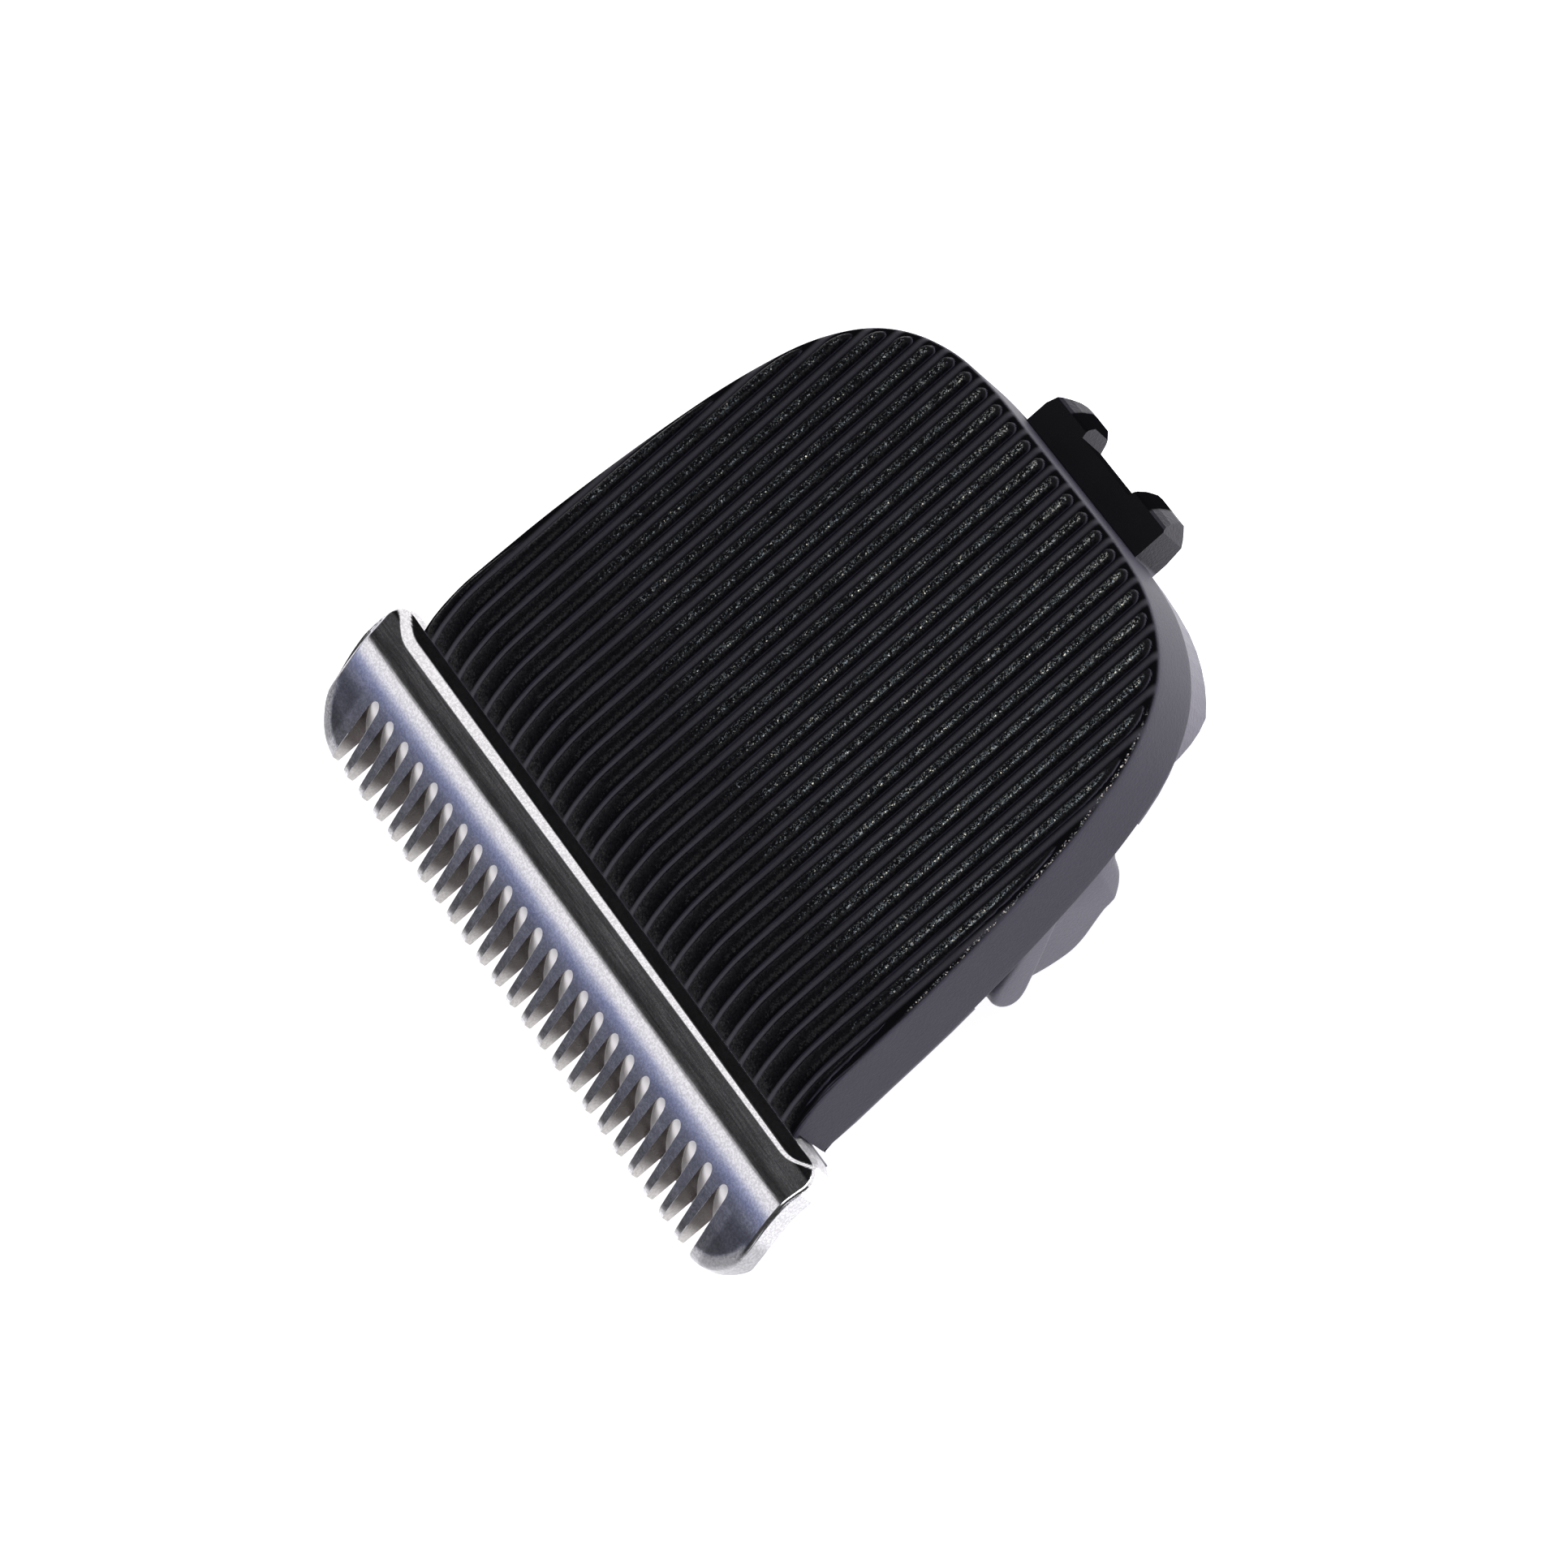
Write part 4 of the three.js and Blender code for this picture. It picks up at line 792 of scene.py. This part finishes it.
def build_comb():
    line = COMB_RIGHT
    xs = np.concatenate([np.linspace(0, 17.0, 180), np.linspace(17.1, 19.6, 34), 19.6 + 0.4 * (1 - (1 - np.linspace(0, 1, 20)[1:]) ** 2)])
    xs = np.unique(np.concatenate([-xs, xs]))
    back = line[(line[:, 1] > -20.3)]
    fr = line[(line[:, 1] <= -20.0)][::-1]
    # the side is almost straight, so its x is made to grow a little on the way back
    bx = np.maximum.accumulate(back[:11, 0])
    yb = np.interp(np.abs(xs), bx, back[:11, 1])
    fx = np.maximum.accumulate(fr[:, 0] + np.arange(len(fr)) * 1e-5)
    yf = np.interp(np.abs(xs), fx, fr[:, 1], left=-26.3)
    tail = np.abs(xs) > 19.85
    yf = np.where(tail, -23.6 + (np.abs(xs) - 19.85) / 0.15 * 3.9, yf)
    yf = np.minimum(yf, yb - 0.03)
    rows_abs = np.concatenate([np.linspace(0, 0.25, 8), np.linspace(0.3, 1.0, 8), np.linspace(1.15, 5.2, 28), np.linspace(5.3, 6.6, 10),
                               np.linspace(6.65, 7.3, 16), np.linspace(7.35, 7.72, 4), np.linspace(7.78, 8.0, 8)]) / 8.0
    Y = yf + (yb - yf) * rows_abs[:, None]
    m, n = Y.shape
    X = np.tile(xs, (m, 1))
    side = np.vstack([line, ])
    sd = np.minimum(polyline_distance(X.ravel(), Y.ravel(), side), polyline_distance(-X.ravel(), Y.ravel(), side)).reshape(X.shape)
    r = 0.22
    drop = r - np.sqrt(np.clip(r * r - np.clip(r - sd, 0, r) ** 2, 0, None))
    drop = drop * smooth(17.0, 18.2, np.abs(X))
    Z = comb_top(X, Y) - drop
    Z = np.maximum(Z, comb_bottom(Y) + 0.12)
    top = np.stack([X, Y, Z], -1)
    flat = top.reshape(-1, 3)
    rim = [np.minimum(sd, 5).ravel()]

    def ring_rows(ring):
        base = flat[ring].copy()
        low = comb_bottom(base[:, 1])
        rows = []
        for f in (0.12, 0.3, 0.5, 0.7, 0.88, 1.0):
            row = base.copy()
            row[:, 2] = base[:, 2] + (low - base[:, 2]) * f
            rows.append(row)
            rim.append(np.full(len(ring), 2.0))
        return rows

    verts, faces, ring, last = grid_solid(top, ring_rows)
    # underside: same columns, one row per 0.5 mm
    base = len(verts)
    idx = np.arange(m * n).reshape(m, n)
    where = {r: i for i, r in enumerate(ring)}
    under = np.zeros((m, n), int)
    extra = []
    for i in range(m):
        for j in range(n):
            key = idx[i, j]
            if i in (0, m - 1) or j in (0, n - 1):
                under[i, j] = last[where[key]]
            else:
                under[i, j] = base + len(extra)
                extra.append((X[i, j], Y[i, j], float(comb_bottom(Y[i, j]))))
    a, b, c, d = under[:-1, :-1].ravel(), under[:-1, 1:].ravel(), under[1:, 1:].ravel(), under[1:, :-1].ravel()
    faces += np.stack([d, c, b, a], -1).tolist()
    verts = np.vstack([verts, np.array(extra)])
    rim.append(np.full(len(extra), 2.0))
    ob = mesh_object("comb_body", verts, faces, None, {"rim": np.concatenate(rim)})
    clean(ob, 0.001)
    # slots with ramped floors
    tools = []
    for i in range(24):
        c = (i - 11.5) * 1.4541
        y = np.concatenate([-22.5 - 0.6 * (1 - np.cos(np.linspace(0, math.pi / 2, 9)))[1:], np.linspace(-23.1, -26.14, 12)[1:],
                            [-26.2, -26.26, -26.31, -26.6]])
        w = np.where(y > -23.1, 0.365 * np.sqrt(np.clip(1 - ((y + 23.1) / 0.6) ** 2, 0, 1)), 0.365 + (0.52 - 0.365) * (-23.1 - y) / 3.04)
        w = np.where(y < -26.15, 0.52 + (0.06 * (1 - np.sqrt(np.clip(1 - ((-26.14 - y) / 0.18) ** 2, 0, 1))) / 0.4), w)
        w = np.where(y < -26.3, 0.72, w)
        w[np.argmax(y)] = max(w[np.argmax(y)], 0.05)
        dist = np.maximum(-22.5 - y, 0)
        zf = comb_top(np.full(len(y), c), y) - 0.40 * dist ** 2
        zf = np.where(dist > 2.1, -6.0, zf)
        # make the breakthrough a steep end of the ramp
        v, f = [], []
        for yy, ww, zz in zip(y, w, zf):
            v += [(c - ww, yy, zz), (c + ww, yy, zz), (c + ww, yy, -0.6), (c - ww, yy, -0.6)]
        k = len(y)
        f.append([0, 1, 2, 3])
        f.append([4 * (k - 1) + 3, 4 * (k - 1) + 2, 4 * (k - 1) + 1, 4 * (k - 1)])
        for j in range(k - 1):
            o = 4 * j
            for e in range(4):
                e2 = (e + 1) % 4
                f.append([o + e, o + 4 + e, o + 4 + e2, o + e2])
        tools.append((v, f))
    boolean(ob, tools, "DIFFERENCE")
    tab = cube(9, 13, -18.7, -13.5, -2.75, -1.74)
    boolean(ob, [tab, mirrored(tab)], "UNION")
    h1 = rod(11, -15.6, -3, -1, 1.05)
    h2 = rod(11, -15.6, -2.55, -1.5, 1.0, 1.95)
    boolean(ob, [h1, mirrored(h1)], "DIFFERENCE")
    boolean(ob, [h2, mirrored(h2)], "DIFFERENCE")
    shade(ob, 34)
    dress(ob, "comb_steel")
    return ob


comb = build_comb()
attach(comb, "head")
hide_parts("fixed_comb_blade")


# ---------------------------------------------------------------- snap arms
def slab(outline, x0, x1, r_out, r_in=0.08, steps=6, tilt=0.0, z_ref=-4.5):
    """Plate with a rounded outline edge, between x0 (inner face) and x1 (outer face)."""
    p = np.array(outline, float)
    area2 = np.sum(p[:, 0] * np.roll(p[:, 1], -1) - np.roll(p[:, 0], -1) * p[:, 1])
    if area2 < 0:
        p = p[::-1]
    t = np.roll(p, -1, 0) - np.roll(p, 1, 0)
    t /= np.linalg.norm(t, axis=1)[:, None] + 1e-12
    inward = np.stack([-t[:, 1], t[:, 0]], -1)
    n = len(p)
    rings = []
    for a in np.linspace(0, math.pi / 2, 4):
        rings.append((p + inward * r_in * (1 - math.sin(a)), x0 + r_in * (1 - math.cos(a))))
    for a in np.linspace(0, math.pi / 2, steps):
        rings.append((p + inward * r_out * (1 - math.cos(a)), x1 - r_out * (1 - math.sin(a))))
    v, f = [], []
    for q, x in rings:
        v += [(x + tilt * min(0.0, zz - z_ref), yy, zz) for yy, zz in q]
    for k in range(len(rings) - 1):
        for i in range(n):
            j = (i + 1) % n
            f.append([k * n + i, k * n + j, (k + 1) * n + j, (k + 1) * n + i])
    f.append(list(range(n))[::-1])
    f.append([(len(rings) - 1) * n + i for i in range(n)])
    return v, f


def closed_curve(points, per=8):
    """Dense closed Catmull-Rom outline."""
    p = np.array(points, float)
    ext = np.vstack([p[-1], p, p[0], p[1]])
    out = []
    for i in range(1, len(p) + 1):
        a, b, c, d = ext[i - 1], ext[i], ext[i + 1], ext[i + 2]
        for t in np.linspace(0, 1, per, endpoint=False):
            v0, v1 = (c - a) / 2, (d - b) / 2
            out.append((2 * b - 2 * c + v0 + v1) * t ** 3 + (-3 * b + 3 * c - 2 * v0 - v1) * t ** 2 + v0 * t + b)
    return np.array(out)


PLATE = [(2.02, -4.62), (1.82, -4.88), (1.42, -5.3), (1.05, -5.9), (0.86, -6.5), (0.66, -7.05), (0.30, -7.55),
         (-0.22, -7.92), (-0.75, -8.08), (-1.15, -8.14), (-1.9, -8.48), (-2.6, -8.82), (-3.2, -9.02), (-3.8, -9.08), (-4.5, -8.95),
         (-5.3, -8.68), (-6.1, -8.3), (-6.6, -8.0), (-6.3, -7.2), (-5.2, -6.1), (-4.2, -5.2), (-3.7, -4.66), (-1.5, -4.58), (0.4, -4.56)]
STRAP = [(-1.55, -4.62), (-2.2, -4.86), (-3.2, -5.74), (-4.3, -6.72), (-5.4, -7.66), (-6.05, -8.2), (-6.55, -8.60), (-7.1, -8.84),
         (-7.6, -8.74), (-7.95, -8.35), (-8.08, -7.85), (-8.02, -7.3), (-7.55, -6.78), (-6.6, -6.30), (-5.5, -5.68), (-4.8, -5.1),
         (-4.5, -4.62), (-3.0, -4.58)]
BACKPLATE = [(-2.4, -4.66), (-2.4, -6.6), (-5.6, -7.7), (-7.9, -7.9), (-8.15, -7.6), (-8.15, -4.9), (-8.0, -4.66)]


def build_arm(name, side):
    arm = mesh_object(name, *slab(closed_curve(PLATE), 14.62, 15.58, 0.34, tilt=0.035), None)
    clean(arm, 0.001)
    # shoulder: the rear margin bends back towards the body along a crease
    p0, dirn = np.array([0.25, -4.08]), np.array([-0.63, -3.39])
    dirn /= np.linalg.norm(dirn)
    nrm = np.array([-dirn[1], dirn[0]])
    bm = bmesh.new()
    bm.from_mesh(arm.data)
    for off in (0.0, 0.12):
        c0 = p0 + nrm * off
        bmesh.ops.bisect_plane(bm, geom=bm.verts[:] + bm.edges[:] + bm.faces[:],
                               plane_co=Vector(to_scene(15.7, c0[0], c0[1])), plane_no=(0, nrm[0], nrm[1]))
    for v in bm.verts:
        q = to_local(v.co)
        t = (q[1] - p0[0]) * nrm[0] + (q[2] - p0[1]) * nrm[1]
        if t > 0:
            v.co.x -= (0.35 * min(t, 0.12) + 0.45 * max(0.0, t - 0.12)) * MM
    bm.to_mesh(arm.data)
    bm.free()
    boolean(arm, [slab(closed_curve(STRAP), 14.70, 15.80, 0.30, tilt=0.03)], "UNION")
    boolean(arm, [slab(BACKPLATE, 14.58, 15.0, 0.06)], "UNION")
    # hook lip along the bottom edge, turned inwards
    boolean(arm, [prism(closed_curve([(-2.0, -8.45), (-3.0, -8.86), (-3.8, -9.0), (-4.7, -8.84), (-5.6, -8.5), (-5.5, -8.22),
                                      (-3.8, -8.3), (-2.1, -8.2)], 5), 14.05, 15.1, "x")], "UNION")
    boolean(arm, [cube(12.6, 15.0, -6.2, 0.2, -6.45, -5.75)], "UNION")
    if side < 0:
        arm.data.transform(Matrix.Scale(-1, 4, (1, 0, 0)))
        arm.data.flip_normals()
    shade(arm, 40)
    b = arm.modifiers.new("round", "BEVEL")
    b.width = 0.05 * MM
    b.segments = 2
    b.limit_method = "ANGLE"
    b.angle_limit = math.radians(50)
    dress(arm, "frame_plastic")
    return arm


for side, word in ((1, "right"), (-1, "left")):
    arm = build_arm("snap_wing_" + word, side)
    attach(arm, "snap_" + word)
    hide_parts("snap_arm_" + word)

# ---------------------------------------------------------------- pieces that keep their CAD shape
SOFT = {
    "base_frame": ("frame_plastic", 0.14, 3),
    "moving_blade": ("cutter_steel", 0.03, 2),
    "cutter_holder": ("holder_plastic", 0.10, 2),
    "drive_follower": ("slide_plastic", 0.06, 2),
    "cutter_rivet_left": ("fastener_steel", 0.08, 2),
    "cutter_rivet_right": ("fastener_steel", 0.08, 2),
    "slide_pad_left": ("slide_plastic", 0.06, 2),
    "slide_pad_right": ("slide_plastic", 0.06, 2),
    "tension_spring": ("spring_steel", 0.05, 2),
    "blade_screw_left": ("fastener_steel", 0.06, 2),
    "blade_screw_right": ("fastener_steel", 0.06, 2),
    "spring_screw_left": ("fastener_steel", 0.05, 2),
    "spring_screw_right": ("fastener_steel", 0.05, 2),
    "cover_screw_left": ("fastener_steel", 0.05, 2),
    "cover_screw_right": ("fastener_steel", 0.05, 2),
    "drive_seal": ("seal_rubber", 0.12, 2),
    "hair_wiper": ("seal_rubber", 0.05, 2),
}
for name, (key, width, seg) in SOFT.items():
    ob = NODES[name]
    soften(ob, width, seg)
    dress(ob, key)

# ---------------------------------------------------------------- stage
bpy.ops.mesh.primitive_circle_add(vertices=96, radius=3.0, fill_type="NGON", location=(0, 0, 0))
floor = bpy.context.object
floor.name = "studio_floor"
fm, fkit, fb = material("studio_floor", (0.55, 0.55, 0.56))
fb.inputs["Roughness"].default_value = 0.9
fb.inputs["Specular IOR Level"].default_value = 0.1
fb.inputs["Emission Color"].default_value = (1.0, 0.99, 1.0, 1)
fb.inputs["Emission Strength"].default_value = 0.90
pos = fkit.add("ShaderNodeSeparateXYZ", {0: fkit.add("ShaderNodeNewGeometry").outputs["Position"]})
# brighter glowing patch of floor behind the head: painted light, which the side walls reflect
patch = fkit.math("MULTIPLY", fkit.step(0.012, 0.021, pos.outputs[1]), fkit.step(0.075, 0.050, pos.outputs[1]))
patch = fkit.math("MULTIPLY", patch, fkit.step(0.050, 0.030, fkit.math("ABSOLUTE", pos.outputs[0])))
fkit.put(fb.inputs["Emission Strength"], fkit.mix(patch, 0.90, 1.75))
# seen from below the floor is clear, so that the underside can be looked at
tree = fm.node_tree
surface = [n for n in tree.nodes if n.type == "OUTPUT_MATERIAL"][0].inputs["Surface"]
clear = tree.nodes.new("ShaderNodeBsdfTransparent")
sides = tree.nodes.new("ShaderNodeMixShader")
tree.links.new(tree.nodes.new("ShaderNodeNewGeometry").outputs["Backfacing"], sides.inputs[0])
tree.links.new(fb.outputs[0], sides.inputs[1])
tree.links.new(clear.outputs[0], sides.inputs[2])
tree.links.new(sides.outputs[0], surface)
floor.data.materials.append(fm)

world = bpy.data.worlds.new("studio")
bpy.context.scene.world = world
world.use_nodes = True
w = Nodes(world.node_tree)
direction = w.add("ShaderNodeTexCoord").outputs["Generated"]
sep = w.add("ShaderNodeSeparateXYZ", {0: direction})
wx, wy, wz = sep.outputs
# angle about the x axis, from straight up towards the comb side, in degrees
phi = w.math("MULTIPLY", w.math("ARCTAN2", w.math("MULTIPLY", wy, -1.0), wz), 180 / math.pi)
left = w.step(-0.20, -0.38, wx)
strip = w.math("MULTIPLY", left, w.math("MULTIPLY", w.step(25.0, 29.0, phi), w.step(51.0, 46.0, phi)))
blue = w.math("MULTIPLY", left, w.math("MULTIPLY", w.step(45.0, 49.0, phi), w.step(58.0, 51.0, phi)))
rear = w.math("MULTIPLY", w.step(-3.0, -14.0, phi), w.step(0.0, 0.10, wz))
table = w.math("MULTIPLY", w.step(0.40, 0.24, wz), w.step(0.80, 0.55, wx))
level = w.math("MAXIMUM", w.math("MULTIPLY", strip, 1.15), w.math("MULTIPLY", rear, 0.95))
level = w.math("MAXIMUM", level, w.math("MULTIPLY", table, 0.9))
level = w.math("MAXIMUM", level, w.math("MULTIPLY", blue, 0.42))
level = w.math("MAXIMUM", level, 0.055)
colour = w.mixc(blue, (1.0, 0.985, 1.0), (0.36, 0.45, 0.95))
seen = w.add("ShaderNodeLightPath").outputs["Is Camera Ray"]
bg = w.add("ShaderNodeBackground", {"Color": w.mixc(seen, colour, (1.0, 1.0, 1.0)), "Strength": w.mix(seen, level, 1.1)})
wo = w.add("ShaderNodeOutputWorld", {0: bg.outputs[0]})


def area(name, location, size, watts, target=(0, 0, 0.005), colour=(1, 1, 1)):
    data = bpy.data.lights.new(name, "AREA")
    data.shape = "DISK"
    data.size = size
    data.energy = watts
    data.color = colour
    ob = bpy.data.objects.new(name, data)
    bpy.context.scene.collection.objects.link(ob)
    ob.location = location
    ob.rotation_euler = (Vector(target) - Vector(location)).to_track_quat("-Z", "Y").to_euler()
    return ob


area("key_overhead", (0.078, -0.062, 0.50), 0.30, 0.85)

# ---------------------------------------------------------------- camera
rx, ry, rz = 0.146378, 0.550037, 0.002142
Rx = np.array([[1, 0, 0], [0, math.cos(rx), -math.sin(rx)], [0, math.sin(rx), math.cos(rx)]])
Ry = np.array([[math.cos(ry), 0, math.sin(ry)], [0, 1, 0], [-math.sin(ry), 0, math.cos(ry)]])
Rz = np.array([[math.cos(rz), -math.sin(rz), 0], [math.sin(rz), math.cos(rz), 0], [0, 0, 1]])
R = Rz @ Ry @ Rx
M = (R @ np.diag([1.0, -1.0, -1.0])).T
T = np.array([-3.5175, -8.5382, 445.491])
C = (-M @ T + SHIFT) * MM
roll = math.radians(53.0)
right = math.cos(roll) * M[:, 0] - math.sin(roll) * M[:, 1]
down = math.sin(roll) * M[:, 0] + math.cos(roll) * M[:, 1]
fwd = M[:, 2]
cam_data = bpy.data.cameras.new("camera")
cam_data.sensor_width = 36.0
cam_data.lens = 11591.9 / 1932 * 36
cam_data.clip_start = 0.01
cam_data.clip_end = 20
cam = bpy.data.objects.new("camera", cam_data)
bpy.context.scene.collection.objects.link(cam)
mat = Matrix.Identity(4)
for i in range(3):
    mat[i][0], mat[i][1], mat[i][2], mat[i][3] = right[i], -down[i], -fwd[i], C[i]
cam.matrix_world = mat
bpy.context.scene.camera = cam
bpy.context.scene.view_settings.view_transform = "Standard"
